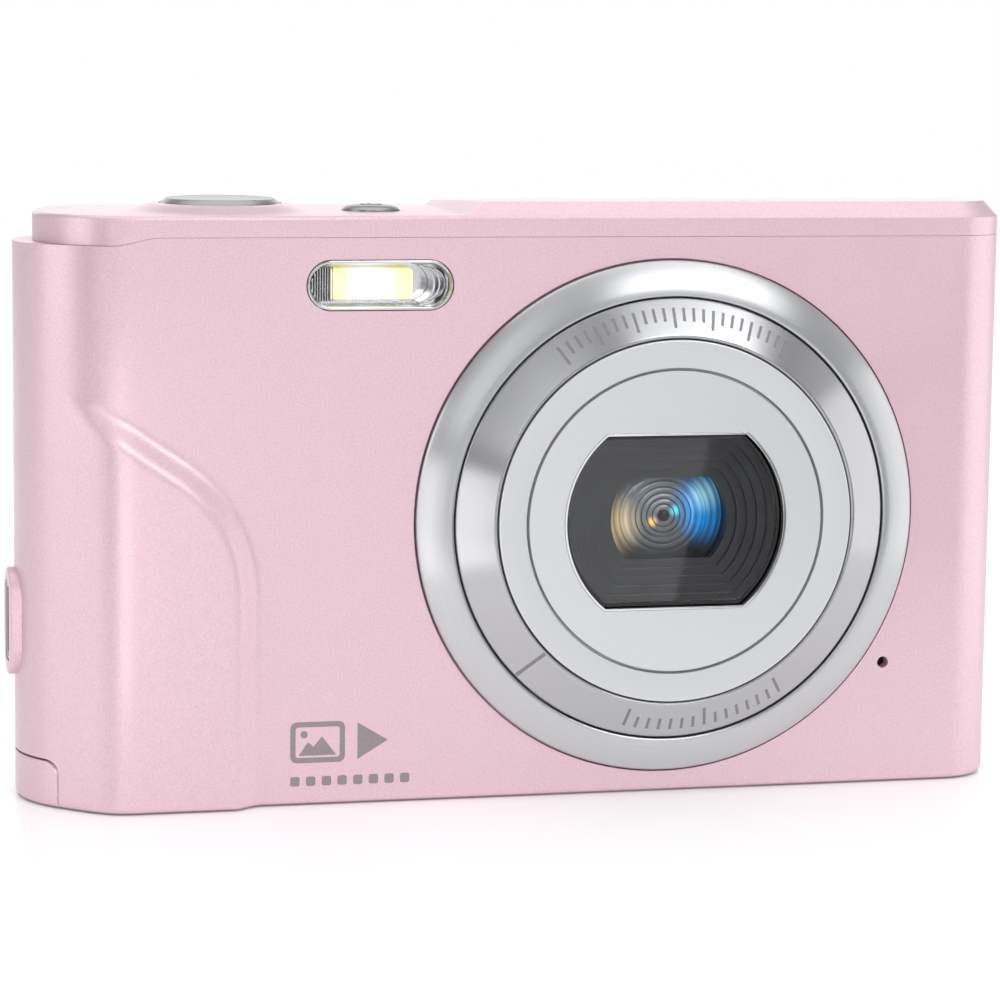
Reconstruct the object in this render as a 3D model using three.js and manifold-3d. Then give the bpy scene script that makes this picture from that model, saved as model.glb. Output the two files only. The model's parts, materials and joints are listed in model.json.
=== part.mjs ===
// Compact digital camera with a fixed lens, as an assembly of separate parts.
// Millimetres, +Z up. The front faces -Y, and +X is to the right seen from the front.
// The origin is on the base plane, in the middle of the body's width and depth.
import * as THREE from "three";
import { mergeVertices } from "three/addons/utils/BufferGeometryUtils.js";
import Module from "manifold-3d";

const wasm = await Module();
wasm.setup();

// ---------------------------------------------------------------- driving dimensions

const GAP = 0.3; // between parts that lie face to face
const BIG = 200; // longer than the camera, for tools that cut right through

const BODY = { width: 95, depth: 20, height: 53.2, endRadius: 10, cornerRadius: 5.5, wall: 1.4, splitY: 3.4 };
const LEFT = -BODY.width / 2;
const RIGHT = BODY.width / 2;
const FRONT = -BODY.depth / 2;
const BACK = BODY.depth / 2;
const END_X = LEFT + BODY.endRadius; // axis of the round left end
const INNER_FRONT = FRONT + BODY.wall;
const INNER_BACK = BACK - BODY.wall;
const LEDGE = { drop: 0.8, reach: 2 }; // slope on top of the round end, outside the cover

const COVER = { base: BODY.height + GAP, low: 55.2, high: 56.4, endInset: 1.9, wall: 1.2 };
const HUMP = { left: -6.6, foot: 54.9, leftRun: 1.5, frontRun: 2, backRun: 1.2 };
const GRIP = { proud: 1.3, slope: 2.3, edgeX: -28.5, layers: 3 };

const LENS = { x: 13.2, z: 26.6, seat: -9.7, recess: 0.6, hole: 12.4 };
const RING = { bezel: 24.4, trim: 21, disc: 17.2, groove: 14.4, gap: 0.15, segments: 48 };
const RING_FRONT = { bezelFoot: -10.2, bezel: -11.7, trim: -13.4, disc: -13.05, grooveFloor: -12.6 };
const WINDOW = { radius: 10.6, half: 8.2, rim: 0.5, rimDepth: 0.4, front: -12.3, back: -9.9 };
const PUPIL = { radius: 5.7, half: 3.8, terraces: 4, terraceDepth: 0.45 };
const BARREL = { front: -9.6, back: -1.2, outer: 8.8, bore: 6, flange: 14, lip: 3.4 };

const FLASH = { x: -14.7, z: 48.8, width: 13.8, height: 4.6, rim: 0.45 };
const MIC = { x: 35.3, z: 11.9, hole: 0.5, radius: 2 };
const SPEAKER = { x: 24, y: 1.5, radius: 5.5, hole: 0.45, pitch: 2 };

const SHUTTER = { x: -28.2, y: -0.8, radius: 5.6, top: 56.7, travel: 0.8, mound: 8.9, moundTop: 55.9 };
const POWER = { x: -13.8, y: -0.8, radius: 2.7, top: 55.8, travel: 0.4 };
const TOP_BOARD = { bottom: 48.9, thick: 0.8, switchHeight: 1.3 };

const USB = { y: 0.2, z: 16.7, wide: 7.4, thick: 2.8, back: -42.8, face: LEFT - 0.7 };
const DOOR = { half: 7.2, thick: 1.6, endHeight: 4.5, corner: 1.2, hingeX: -3.2, hingeZ: 0.9, pin: 0.45, slide: 1.5 };
const BATTERY = { left: -39.5, right: -6.5, front: -5.8, back: 0.2, bottom: 2.2, top: 42.2 };
const CARD = { left: -38, right: -14, front: 3.05, back: 5.15, bottom: 2.6, top: 34.6, push: 0.8 };
const BOARD = { left: -7, right: 42.8, front: 1.7, back: 2.5, bottom: 8, top: 50 };
const TRIPOD = { x: 13.2, y: -2.2, radius: 4.5, flange: 6, hole: 3.2, depth: 5.2 };
const STRAP = { x: -42.9, y: 6.9, radius: 2.5, low: 36, high: 43, pin: 0.7, pinX: -43.2, pinY: 7.25 };

const SCREEN = { left: -12.5, right: 41.5, bottom: 6, top: 48, corner: 1.5, thick: 0.8, border: 1.4 };
const KEY = { x: -28.5, navZ: 24, upperZ: 38, lowerZ: 10, side: 7, radius: 2.75, front: 7.6, flange: 8.3, top: 10.5 };
const NAV = { inner: 3.85, outer: 9.2, ok: 3.5, sideGap: 0.07 };
const ROCKER = { z: 47, length: 14, height: 4.8, top: 10.8, front: 7.3 };
const LED = { x: -15.9, z: 42.5, radius: 0.7 };

const SCREW = { head: 1.3, headHeight: 0.8, shank: 0.7, length: 4.2, sunk: 0.1 };
const BASE_SCREWS = [{ x: 3.2, y: -5.5 }, { x: 30, y: -2 }];
const END_SCREWS = [{ z: 12 }, { z: 42 }];

// ---------------------------------------------------------------- solids

// A closed three.js geometry as a manifold solid with its faces pointing out.
function solid(geometry) {
  const bare = geometry.index ? geometry.toNonIndexed() : geometry.clone();
  bare.deleteAttribute("normal");
  bare.deleteAttribute("uv");
  const merged = mergeVertices(bare, 1e-4);
  const build = (flip) => {
    const corners = [];
    const index = merged.index.array;
    for (let i = 0; i < index.length; i += 3) {
      const [a, b, c] = [index[i], index[i + 1], index[i + 2]];
      if (a !== b && b !== c && a !== c) corners.push(...(flip ? [a, c, b] : [a, b, c]));
    }
    const mesh = new wasm.Mesh({
      numProp: 3,
      vertProperties: merged.attributes.position.array,
      triVerts: new Uint32Array(corners),
    });
    return new wasm.Manifold(mesh);
  };
  const made = build(false);
  return made.volume() < 0 ? build(true) : made;
}

const joined = (...solids) => solids.reduce((a, b) => a.add(b));
const cut = (from, ...tools) => tools.reduce((a, b) => a.subtract(b), from);

function box(x0, x1, y0, y1, z0, z1) {
  const geometry = new THREE.BoxGeometry(x1 - x0, y1 - y0, z1 - z0);
  return solid(geometry.translate((x0 + x1) / 2, (y0 + y1) / 2, (z0 + z1) / 2));
}

function extruded(shape, depth, curveSegments) {
  return new THREE.ExtrudeGeometry(shape, { depth, bevelEnabled: false, curveSegments });
}

// An XY outline from z0 up to z1.
function standing(shape, z0, z1, curveSegments = 12) {
  return solid(extruded(shape, z1 - z0, curveSegments).translate(0, 0, z0));
}

// An outline seen from the front, in X and Z, from yFront back to yBack.
function facing(shape, yFront, yBack, curveSegments = 5) {
  return solid(extruded(shape, yBack - yFront, curveSegments).rotateX(Math.PI / 2).translate(0, yBack, 0));
}

// An outline seen from the side, in Y and Z, from x0 to x1.
function sideways(shape, x0, x1, curveSegments = 4) {
  const turn = new THREE.Matrix4().set(0, 0, 1, 0, 1, 0, 0, 0, 0, 1, 0, 0, 0, 0, 0, 1);
  return solid(extruded(shape, x1 - x0, curveSegments).applyMatrix4(turn).translate(x0, 0, 0));
}

// A closed profile of [radius, y] turned about the Y axis.
function turned(profile, segments = RING.segments) {
  const points = [...profile, profile[0]].map(([r, y]) => new THREE.Vector2(r, y));
  return solid(new THREE.LatheGeometry(points, segments));
}

// A closed profile of [radius, z] turned about the Z axis.
function turnedUp(profile, segments = 32) {
  const points = [...profile, profile[0]].map(([r, z]) => new THREE.Vector2(r, z));
  return solid(new THREE.LatheGeometry(points, segments).rotateX(Math.PI / 2));
}

const rod = (radius, y0, y1, segments = 24) => turned([[0, y0], [radius, y0], [radius, y1], [0, y1]], segments);
const post = (radius, z0, z1, segments = 24) => turnedUp([[0, z0], [radius, z0], [radius, z1], [0, z1]], segments);

function polygon(points) {
  return new THREE.Shape(points.map(([a, b]) => new THREE.Vector2(a, b)));
}

function roundedRect(x0, x1, y0, y1, r) {
  const shape = new THREE.Shape();
  shape.moveTo(x0 + r, y0);
  shape.lineTo(x1 - r, y0);
  shape.absarc(x1 - r, y0 + r, r, -Math.PI / 2, 0);
  shape.lineTo(x1, y1 - r);
  shape.absarc(x1 - r, y1 - r, r, 0, Math.PI / 2);
  shape.lineTo(x0 + r, y1);
  shape.absarc(x0 + r, y1 - r, r, Math.PI / 2, Math.PI);
  shape.lineTo(x0, y0 + r);
  shape.absarc(x0 + r, y0 + r, r, Math.PI, Math.PI * 1.5);
  return shape;
}

function capsule(cx, cy, width, height) {
  const round = Math.min(width, height) / 2 - 0.01;
  return roundedRect(cx - width / 2, cx + width / 2, cy - height / 2, cy + height / 2, round);
}

// A circle whose top and bottom are cut off flat.
function flattened(radius, half) {
  const angle = Math.asin(half / radius);
  const shape = new THREE.Shape();
  shape.absarc(0, 0, radius, -angle, angle);
  shape.absarc(0, 0, radius, Math.PI - angle, Math.PI + angle);
  return shape;
}

// The body from above: a round left end of the given reach and a right end with two round corners.
function planOutline(reach, halfDepth, inset = 0) {
  const shape = new THREE.Shape();
  const corner = BODY.cornerRadius - inset;
  const right = RIGHT - inset;
  shape.moveTo(END_X, -halfDepth);
  shape.lineTo(right - corner, -halfDepth);
  shape.absarc(right - corner, -halfDepth + corner, corner, -Math.PI / 2, 0);
  shape.lineTo(right, halfDepth - corner);
  shape.absarc(right - corner, halfDepth - corner, corner, 0, Math.PI / 2);
  shape.lineTo(END_X, halfDepth);
  shape.absellipse(END_X, 0, reach, halfDepth, Math.PI / 2, Math.PI * 1.5);
  return shape;
}

const bodyOutline = (inset = 0) => planOutline(BODY.endRadius - inset, BODY.depth / 2 - inset, inset);

// ---------------------------------------------------------------- finishes

const finish = (color, roughness, metalness = 0, opacity = 1) => () =>
  new THREE.MeshStandardMaterial({ color, roughness, metalness, opacity, transparent: opacity < 1 });

const FINISH = {
  paint: finish(0xe8c3cf, 0.42, 0.1),
  satinSilver: finish(0xd2d4d8, 0.35, 0.6),
  brushedSilver: finish(0xc4c7cb, 0.28, 1),
  chrome: finish(0xd8dadc, 0.12, 1),
  steel: finish(0x9a9ca0, 0.35, 1),
  brass: finish(0xc8a860, 0.35, 1),
  blackPlastic: finish(0x18181a, 0.5),
  glossBlack: finish(0x0a0a0c, 0.08),
  clear: finish(0xf4f6fa, 0.04, 0, 0.35),
  coatedGlass: finish(0x6a8fd0, 0.03, 0, 0.45),
  phosphor: finish(0xf3edb0, 0.5),
  board: finish(0x1f5a3a, 0.45),
  flex: finish(0xb4762a, 0.4),
  chip: finish(0x222326, 0.55),
  rubber: finish(0x3a3a3d, 0.8),
  cell: finish(0x2c2e33, 0.5),
  card: finish(0x24375e, 0.5),
  ledGreen: finish(0x8fd39a, 0.3),
};

function part(name, made, material, place = [0, 0, 0], turn = [0, 0, 0]) {
  const { numProp, vertProperties, triVerts } = made.getMesh();
  const count = vertProperties.length / numProp;
  const positions = new Float32Array(count * 3);
  for (let i = 0; i < count; i++) {
    positions.set(vertProperties.subarray(i * numProp, i * numProp + 3), i * 3);
  }
  const geometry = new THREE.BufferGeometry();
  geometry.setAttribute("position", new THREE.BufferAttribute(positions, 3));
  geometry.setIndex(new THREE.BufferAttribute(triVerts, 1));
  geometry.computeVertexNormals();
  const mesh = new THREE.Mesh(geometry, material());
  mesh.name = name;
  mesh.position.set(...place);
  mesh.rotation.set(...turn);
  return mesh;
}

// ---------------------------------------------------------------- casing

// The raised grip from the front: its edge comes down in an S from the round end, then runs straight.
function gripRegion(spread) {
  const shape = new THREE.Shape();
  const edge = GRIP.edgeX + spread;
  shape.moveTo(LEFT - 5, 0);
  shape.lineTo(edge, 0);
  shape.lineTo(edge, 20);
  shape.bezierCurveTo(edge, 26, -30.5 + spread, 29 + spread / 2, -34.5, 31.4 + spread);
  shape.lineTo(-42.5, 36.2 + spread);
  shape.lineTo(LEFT - 5, 38.5 + spread);
  return shape;
}

function grip() {
  const layers = Array.from({ length: GRIP.layers }, (_, i) => {
    const front = FRONT - (GRIP.proud * (i + 1)) / GRIP.layers;
    const spread = (GRIP.slope * (GRIP.layers - i - 1)) / GRIP.layers;
    return facing(gripRegion(spread), front, 0);
  });
  const swell = planOutline(BODY.endRadius, BODY.depth / 2 + GRIP.proud);
  return joined(...layers).intersect(standing(swell, 0, BODY.height, 12));
}

// What the battery door fills, grown by a clearance, from beyond the round end to x1.
function doorPrism(clearance, x1) {
  const half = DOOR.half + clearance;
  const outline = roundedRect(-half, half, -10, DOOR.endHeight + clearance, DOOR.corner + clearance);
  return sideways(outline, LEFT - 10, x1);
}

// The slot in which the hinge pin's two ends slide.
function pinSlot() {
  const reach = DOOR.pin + 0.1;
  const low = DOOR.hingeZ - reach;
  return box(DOOR.hingeX - DOOR.slide - reach, DOOR.hingeX + reach, -8.95, 8.95, low, DOOR.hingeZ + reach);
}

function ledgeSlope() {
  const low = BODY.height - LEDGE.drop;
  return facing(polygon([[LEFT - 1, low], [LEFT, low], [LEFT + LEDGE.reach, BODY.height + 0.1],
    [LEFT + LEDGE.reach, BIG], [LEFT - 1, BIG]]), -BIG, BIG);
}

// Countersunk hole for a screw that goes in along +Z from the plane z = 0.
function screwHole() {
  return joined(post(SCREW.head + GAP, -1, 0.95), post(SCREW.shank + 0.25, -1, 8, 16));
}

const baseScrewHoles = () => BASE_SCREWS.map(({ x, y }) => screwHole().translate(x, y, 0));
const endScrewHoles = () => END_SCREWS.map(({ z }) => screwHole().rotate(0, -90, 0).translate(RIGHT, 0, z));

// Both shells before they are split: one cup, open at the top.
function cup() {
  const boss = sideways(capsule(USB.y, USB.z, 5.8, 10.2), USB.face, END_X);
  const outside = joined(standing(bodyOutline(), 0, BODY.height, 12), grip(), boss);
  return cut(
    outside,
    standing(bodyOutline(BODY.wall), BODY.wall, BIG, 10),
    doorPrism(0.2, DOOR.hingeX + DOOR.hingeZ + GAP),
    pinSlot(),
    ledgeSlope(),
  );
}

function usbOutline(clearance) {
  return roundedRect(
    USB.y - USB.thick / 2 - clearance,
    USB.y + USB.thick / 2 + clearance,
    USB.z - USB.wide / 2 - clearance,
    USB.z + USB.wide / 2 + clearance,
    0.6 + clearance,
  );
}

function frontShell() {
  const { x, z } = LENS;
  return cut(
    cup().intersect(box(-BIG, BIG, -BIG, BODY.splitY, -BIG, BIG)),
    rod(RING.bezel + 0.2, -BIG, FRONT + LENS.recess, RING.segments).translate(x, 0, z),
    rod(LENS.hole, -BIG, 0, RING.segments).translate(x, 0, z),
    facing(capsule(FLASH.x, FLASH.z, FLASH.width + 0.4, FLASH.height + 0.4), -BIG, 0),
    rod(MIC.hole, -BIG, 0, 12).translate(MIC.x, 0, MIC.z),
    sideways(usbOutline(0.2), -BIG, USB.back),
    post(TRIPOD.radius + GAP, -1, 5).translate(TRIPOD.x, TRIPOD.y, 0),
    ...baseScrewHoles(),
    ...endScrewHoles(),
  );
}

// Arms of the rear shell that reach under the front shell's walls and take the screws.
function screwArms() {
  const back = INNER_BACK + 0.4;
  const half = 1.8;
  const base = BASE_SCREWS.map(({ x, y }) => box(x - half, x + half, y - 2, back, BODY.wall + GAP, 4.6));
  const inner = RIGHT - BODY.wall - GAP;
  const end = END_SCREWS.map(({ z }) => box(inner - 2.9, inner, -2.2, back, z - 2.2, z + 2.2));
  return joined(...base, ...end);
}

function keyPlaces() {
  return {
    mode_button: [KEY.x + KEY.side, KEY.upperZ],
    menu_button: [KEY.x - KEY.side, KEY.upperZ],
    playback_button: [KEY.x + KEY.side, KEY.lowerZ],
    delete_button: [KEY.x - KEY.side, KEY.lowerZ],
  };
}

function rearShell() {
  const strapBoss = post(STRAP.radius + 1, STRAP.low - 1, STRAP.high + 1)
    .translate(STRAP.x, STRAP.y, 0)
    .intersect(standing(bodyOutline(0.2), 0, BODY.height, 12));
  const { left, right, bottom, top, corner, thick, border } = SCREEN;
  const inset = border + 0.2;
  return cut(
    joined(cup().intersect(box(-BIG, BIG, BODY.splitY + GAP, BIG, -BIG, BIG)), strapBoss, screwArms()),
    post(STRAP.radius, STRAP.low, STRAP.high).translate(STRAP.x, STRAP.y, 0),
    post(STRAP.pin + 0.1, STRAP.low - 0.8, STRAP.high + 0.8, 12).translate(STRAP.pinX, STRAP.pinY, 0),
    facing(roundedRect(left - 0.2, right + 0.2, bottom - 0.2, top + 0.2, corner + 0.2), BACK - thick, BIG),
    facing(roundedRect(left + inset, right - inset, bottom + inset, top - inset, 0.5), 0, BIG),
    rod(NAV.outer + GAP, 5.5, BIG, 32).translate(KEY.x, 0, KEY.navZ),
    facing(capsule(KEY.x, ROCKER.z, ROCKER.length + 1, ROCKER.height + 0.8), 5.5, BIG),
    rod(LED.radius + 0.15, 5.5, BIG, 12).translate(LED.x, 0, LED.z),
    ...Object.values(keyPlaces()).map(([x, z]) => rod(KEY.radius + 0.25, 5.5, BIG, 20).translate(x, 0, z)),
    ...baseScrewHoles(),
    ...endScrewHoles(),
  );
}

// The right part of the cover stands higher, with sloped front, left and back edges.
function hump(outline) {
  const { left, foot, leftRun, frontRun, backRun } = HUMP;
  const high = COVER.high;
  const start = COVER.base;
  const side = polygon([[FRONT, start], [BACK, start], [BACK, foot], [BACK - backRun, high],
    [FRONT + frontRun, high], [FRONT, foot]]);
  const front = polygon([[left, start], [RIGHT, start], [RIGHT, foot], [RIGHT - backRun, high],
    [left + leftRun, high], [left, foot]]);
  return sideways(side, left, RIGHT).intersect(facing(front, FRONT, BACK)).intersect(outline);
}

function buttonMound() {
  const { mound, moundTop, radius } = SHUTTER;
  const foot = COVER.low - COVER.wall + 0.2;
  const low = COVER.low - 0.1;
  const profile = [[0, foot], [mound, foot], [mound, low], [mound - 1.1, low + 0.2],
    [radius + 0.9, moundTop - 0.15], [radius + 0.5, moundTop], [0, moundTop]];
  return turnedUp(profile).translate(SHUTTER.x, SHUTTER.y, 0);
}

function speakerHoles() {
  const spots = [[0, 0], ...Array.from({ length: 6 }, (_, i) => {
    const angle = (i * Math.PI) / 3;
    return [SPEAKER.pitch * Math.cos(angle), SPEAKER.pitch * Math.sin(angle)];
  })];
  return spots.map(([x, y]) => post(SPEAKER.hole, 50, BIG, 8).translate(SPEAKER.x + x, SPEAKER.y + y, 0));
}

function topCover() {
  const reach = BODY.endRadius - COVER.endInset;
  const outline = standing(planOutline(reach, BODY.depth / 2), COVER.base, BIG, 12);
  const edge = 0.3;
  const lowPart = joined(
    standing(planOutline(reach, BODY.depth / 2), COVER.base, COVER.low - edge, 12),
    standing(planOutline(reach - edge, BODY.depth / 2 - edge, edge), COVER.base, COVER.low, 12),
  );
  const inner = planOutline(reach - BODY.wall, BODY.depth / 2 - BODY.wall, BODY.wall);
  const lowRoof = COVER.low - COVER.wall;
  const highRoof = COVER.high - COVER.wall;
  const highRoom = standing(inner, lowRoof - 1, highRoof, 8).intersect(
    box(HUMP.left + 3, RIGHT - 3, FRONT + 3.2, BACK - 2.6, 0, BIG));
  return cut(
    joined(lowPart, hump(outline), buttonMound()),
    standing(inner, 50, lowRoof, 12),
    highRoom,
    post(SHUTTER.radius + 0.25, 50, BIG).translate(SHUTTER.x, SHUTTER.y, 0),
    post(POWER.radius + 0.25, 50, BIG).translate(POWER.x, POWER.y, 0),
    ...speakerHoles(),
  );
}

// ---------------------------------------------------------------- lens

function lensRings() {
  const { bezel, trim, disc, groove, gap } = RING;
  const y = RING_FRONT;
  const seat = LENS.seat;
  const bezelRing = turned([[trim + gap, seat], [bezel, seat], [bezel, y.bezelFoot], [trim + 0.5, y.bezel],
    [trim + gap, y.bezel]]);
  const trimRing = turned([[disc + gap, seat], [trim, seat], [trim, y.bezel], [disc + gap, y.trim]]);
  const face = turned([[0, seat], [disc, seat], [disc, y.disc - 0.25], [groove + 0.15, y.disc],
    [groove + 0.15, y.grooveFloor], [groove - 0.15, y.grooveFloor], [groove - 0.15, y.disc], [0, y.disc]]);
  const rim = flattened(WINDOW.radius + WINDOW.rim, WINDOW.half + WINDOW.rim);
  const faceDisc = cut(
    face,
    facing(flattened(WINDOW.radius, WINDOW.half), -BIG, BIG),
    facing(rim, -BIG, y.disc + WINDOW.rimDepth),
  );
  return [
    part("lens_bezel_ring", bezelRing, FINISH.chrome),
    part("lens_trim_ring", trimRing, FINISH.brushedSilver),
    part("lens_face_disc", faceDisc, FINISH.satinSilver),
  ];
}

// A black plate with terraces that step down to the opening in front of the glass.
function windowPlate() {
  const { radius, half, front, back } = WINDOW;
  const edge = 0.2;
  const outer = { radius: radius - edge, half: half - edge };
  const terraces = Array.from({ length: PUPIL.terraces }, (_, i) => {
    const share = (i + 1) / PUPIL.terraces;
    const outline = flattened(
      outer.radius + (PUPIL.radius - outer.radius) * share,
      outer.half + (PUPIL.half - outer.half) * share,
    );
    const floor = share < 1 ? front + PUPIL.terraceDepth * (i + 1) : BIG;
    return facing(outline, -BIG, floor);
  });
  return cut(facing(flattened(outer.radius, outer.half), front, back), ...terraces);
}

function lensBarrel() {
  const { front, back, outer, bore, flange, lip } = BARREL;
  return turned([
    [lip, front + 1.4], [bore - 0.3, front], [outer, front], [outer, -8.3], [flange, -8.3], [flange, -7.1],
    [outer, -7.1], [outer, back], [bore, back], [bore, front + 1.9], [lip, front + 1.9],
  ], 32);
}

// A round element with one or two domed faces; bulge is how far each face stands out at the middle.
function lensElement(radius, front, back, frontBulge, backBulge) {
  const dome = (edge, bulge, share) => edge + bulge * (1 - share * share);
  const shares = [0, 0.5, 1];
  const frontFace = shares.map((s) => [radius * s, dome(front, -frontBulge, s)]);
  const backFace = [...shares].reverse().map((s) => [radius * s, dome(back, backBulge, s)]);
  return turned([...frontFace, ...backFace], 24);
}

function lensGroup() {
  const half = 4;
  const group = new THREE.Group();
  group.position.set(LENS.x, 0, LENS.z);
  group.add(
    ...lensRings(),
    part("lens_window_plate", windowPlate(), FINISH.glossBlack),
    part("lens_barrel", lensBarrel(), FINISH.blackPlastic),
    part("front_lens", lensElement(5.7, -7, -6, 0.9, 0.2), FINISH.coatedGlass),
    part("aperture_plate", cut(rod(5.7, -5.4, -5.1), rod(1.6, -6, -4, 12)), FINISH.blackPlastic),
    part("rear_lens", lensElement(5.2, -4.3, -3, 0.3, 0.5), FINISH.coatedGlass),
    part("ir_filter", box(-half, half, -2, -1.5, -half, half), FINISH.coatedGlass),
    part("image_sensor", box(-half, half, -0.9, 0, -half + 0.5, half - 0.5), FINISH.chip),
    part("sensor_board", box(-8, 8, 0.2, 0.9, -8, 8), FINISH.board),
  );
  return group;
}

// ---------------------------------------------------------------- flash, sound, top controls

function flashGroup() {
  const { width, height, rim } = FLASH;
  const ring = cut(
    facing(capsule(0, 0, width, height), -10.1, -8.9),
    facing(capsule(0, 0, width - 2 * rim, height - 2 * rim), -BIG, 0),
  );
  const pane = facing(capsule(0, 0, width - 2 * rim - 0.2, height - 2 * rim - 0.2), -9.9, -9.1);
  const trough = cut(box(-6.5, 6.5, -8.3, -4.6, -2.2, 2.2), box(-6, 6, -9, -6, -1.8, 1.8));
  const group = new THREE.Group();
  group.position.set(FLASH.x, 0, FLASH.z);
  group.add(
    part("flash_bezel", ring, FINISH.chrome),
    part("flash_window", pane, FINISH.clear),
    part("flash_reflector", trough, FINISH.chrome),
    part("flash_led", box(-4.5, 3.3, -7.1, -6.3, -1.4, 1.4), FINISH.phosphor),
  );
  return group;
}

// A round cap that slides down through the cover, kept in by a flange under the roof.
function topButton({ radius, top, travel, dome, flange, stem }) {
  const under = COVER.low - COVER.wall - GAP;
  const switchTop = TOP_BOARD.bottom + TOP_BOARD.thick + GAP + TOP_BOARD.switchHeight;
  const foot = switchTop + travel + 0.1;
  return turnedUp([
    [0, foot], [stem, foot], [stem, under - 0.6], [flange, under - 0.6], [flange, under], [radius, under],
    [radius, top - dome], [radius * 0.9, top - dome * 0.3], [0, top],
  ], 32);
}

function tactSwitch(half) {
  const bottom = TOP_BOARD.bottom + TOP_BOARD.thick + GAP;
  return box(-half, half, -half, half, bottom, bottom + TOP_BOARD.switchHeight);
}

function topControls() {
  const shutter = topButton({ ...SHUTTER, dome: 0.25, flange: 6.5, stem: 1.5 });
  const power = topButton({ ...POWER, dome: 0.35, flange: 3.5, stem: 1.2 });
  const board = box(-35, -8, -3, 5.5, TOP_BOARD.bottom, TOP_BOARD.bottom + TOP_BOARD.thick);
  const shutterPlace = [SHUTTER.x, SHUTTER.y, 0];
  const powerPlace = [POWER.x, POWER.y, 0];
  return [
    part("shutter_button", shutter, FINISH.brushedSilver, shutterPlace),
    part("power_button", power, FINISH.brushedSilver, powerPlace),
    part("top_board", board, FINISH.board),
    part("shutter_switch", tactSwitch(2.1), FINISH.chip, shutterPlace),
    part("power_switch", tactSwitch(1.6), FINISH.chip, powerPlace),
  ];
}

function soundParts() {
  const speaker = post(SPEAKER.radius, 52.3, 54.6);
  const microphone = rod(MIC.radius, INNER_FRONT + GAP, -6.8, 16);
  return [
    part("speaker", speaker, FINISH.blackPlastic, [SPEAKER.x, SPEAKER.y, 0]),
    part("microphone", microphone, FINISH.steel, [MIC.x, 0, MIC.z]),
  ];
}

// ---------------------------------------------------------------- screen and rear controls

function screenParts() {
  const { left, right, bottom, top, corner, thick } = SCREEN;
  const pane = facing(roundedRect(left, right, bottom, top, corner), BACK - thick + 0.1, BACK);
  const panel = box(left + 0.9, right - 0.9, 5.9, 8.3, bottom + 0.9, top - 0.9);
  const tray = cut(
    box(left + 0.3, right - 0.3, 5.2, 8, bottom + 0.3, top - 0.3),
    box(left + 0.7, right - 0.7, 5.6, BIG, bottom + 0.7, top - 0.7),
    box(25, 35, 5.6, BIG, 0, bottom + 2),
  );
  const tape = sideways(polygon([[6.8, 6.6], [7, 6.6], [7, 5], [3.6, 5], [3.6, 12], [2.6, 12], [2.6, 12.2],
    [3.8, 12.2], [3.8, 5.2], [6.8, 5.2]]), 26, 34);
  return [
    part("lcd_window", pane, FINISH.glossBlack),
    part("lcd_panel", panel, FINISH.chip),
    part("lcd_frame", tray, FINISH.steel),
    part("lcd_flex", tape, FINISH.flex),
  ];
}

function roundKey() {
  return joined(rod(KEY.radius + 0.6, KEY.front, KEY.flange, 16), rod(KEY.radius, KEY.front, KEY.top, 16));
}

// One quarter of the ring around the middle key, pointing along the given angle.
function ringKey(angle) {
  const sector = (outer) => {
    const half = Math.PI / 4 - NAV.sideGap;
    const shape = new THREE.Shape();
    shape.absarc(0, 0, outer, angle - half, angle + half);
    shape.absarc(0, 0, NAV.inner, angle + half, angle - half, true);
    return shape;
  };
  return joined(facing(sector(NAV.outer + 0.6), KEY.front, KEY.flange), facing(sector(NAV.outer), KEY.front, KEY.top));
}

function zoomRocker() {
  const { length, height, front, top } = ROCKER;
  const flange = facing(roundedRect(-length / 2 - 1, length / 2 + 1, -height / 2 - 0.5, height / 2 + 0.5, 1),
    front, front + 0.6);
  return joined(flange, facing(capsule(0, 0, length, height), front, top));
}

function rearControls() {
  const navPlace = [KEY.x, 0, KEY.navZ];
  const ringAngles = { key_left: 0, key_up: Math.PI / 2, key_right: Math.PI, key_down: Math.PI * 1.5 };
  const rubber = facing(roundedRect(-38, -17, 6, 42, 2), 6.6, 7.15, 3);
  const board = facing(roundedRect(-38.5, -14.4, 5.5, 50, 1), 6, 6.5, 3);
  return [
    ...Object.entries(keyPlaces()).map(([name, [x, z]]) => part(name, roundKey(), FINISH.satinSilver, [x, 0, z])),
    ...Object.entries(ringAngles).map(([name, angle]) => part(name, ringKey(angle), FINISH.satinSilver, navPlace)),
    part("ok_button", rod(NAV.ok, KEY.front, KEY.top), FINISH.satinSilver, navPlace),
    part("zoom_rocker", zoomRocker(), FINISH.satinSilver, [KEY.x, 0, ROCKER.z]),
    part("status_led", rod(LED.radius, 6.8, BACK, 12), FINISH.ledGreen, [LED.x, 0, LED.z]),
    part("keypad_rubber", rubber, FINISH.rubber),
    part("keypad_board", board, FINISH.board),
  ];
}

// ---------------------------------------------------------------- electronics, battery and card

function boards() {
  const { left, right, front, back, bottom, top } = BOARD;
  const chassis = cut(box(-5, right, 1.1 - 0.2, 1.5 - 0.1, bottom, top), box(4, 22.4, 0, 3, 17.4, 35.8));
  return [
    part("main_board", box(left, right, front, back, bottom, top), FINISH.board),
    part("chassis_plate", chassis, FINISH.steel),
    part("processor_chip", box(2, 16, back + 0.2, back + 1.4, 20, 34), FINISH.chip),
  ];
}

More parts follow.
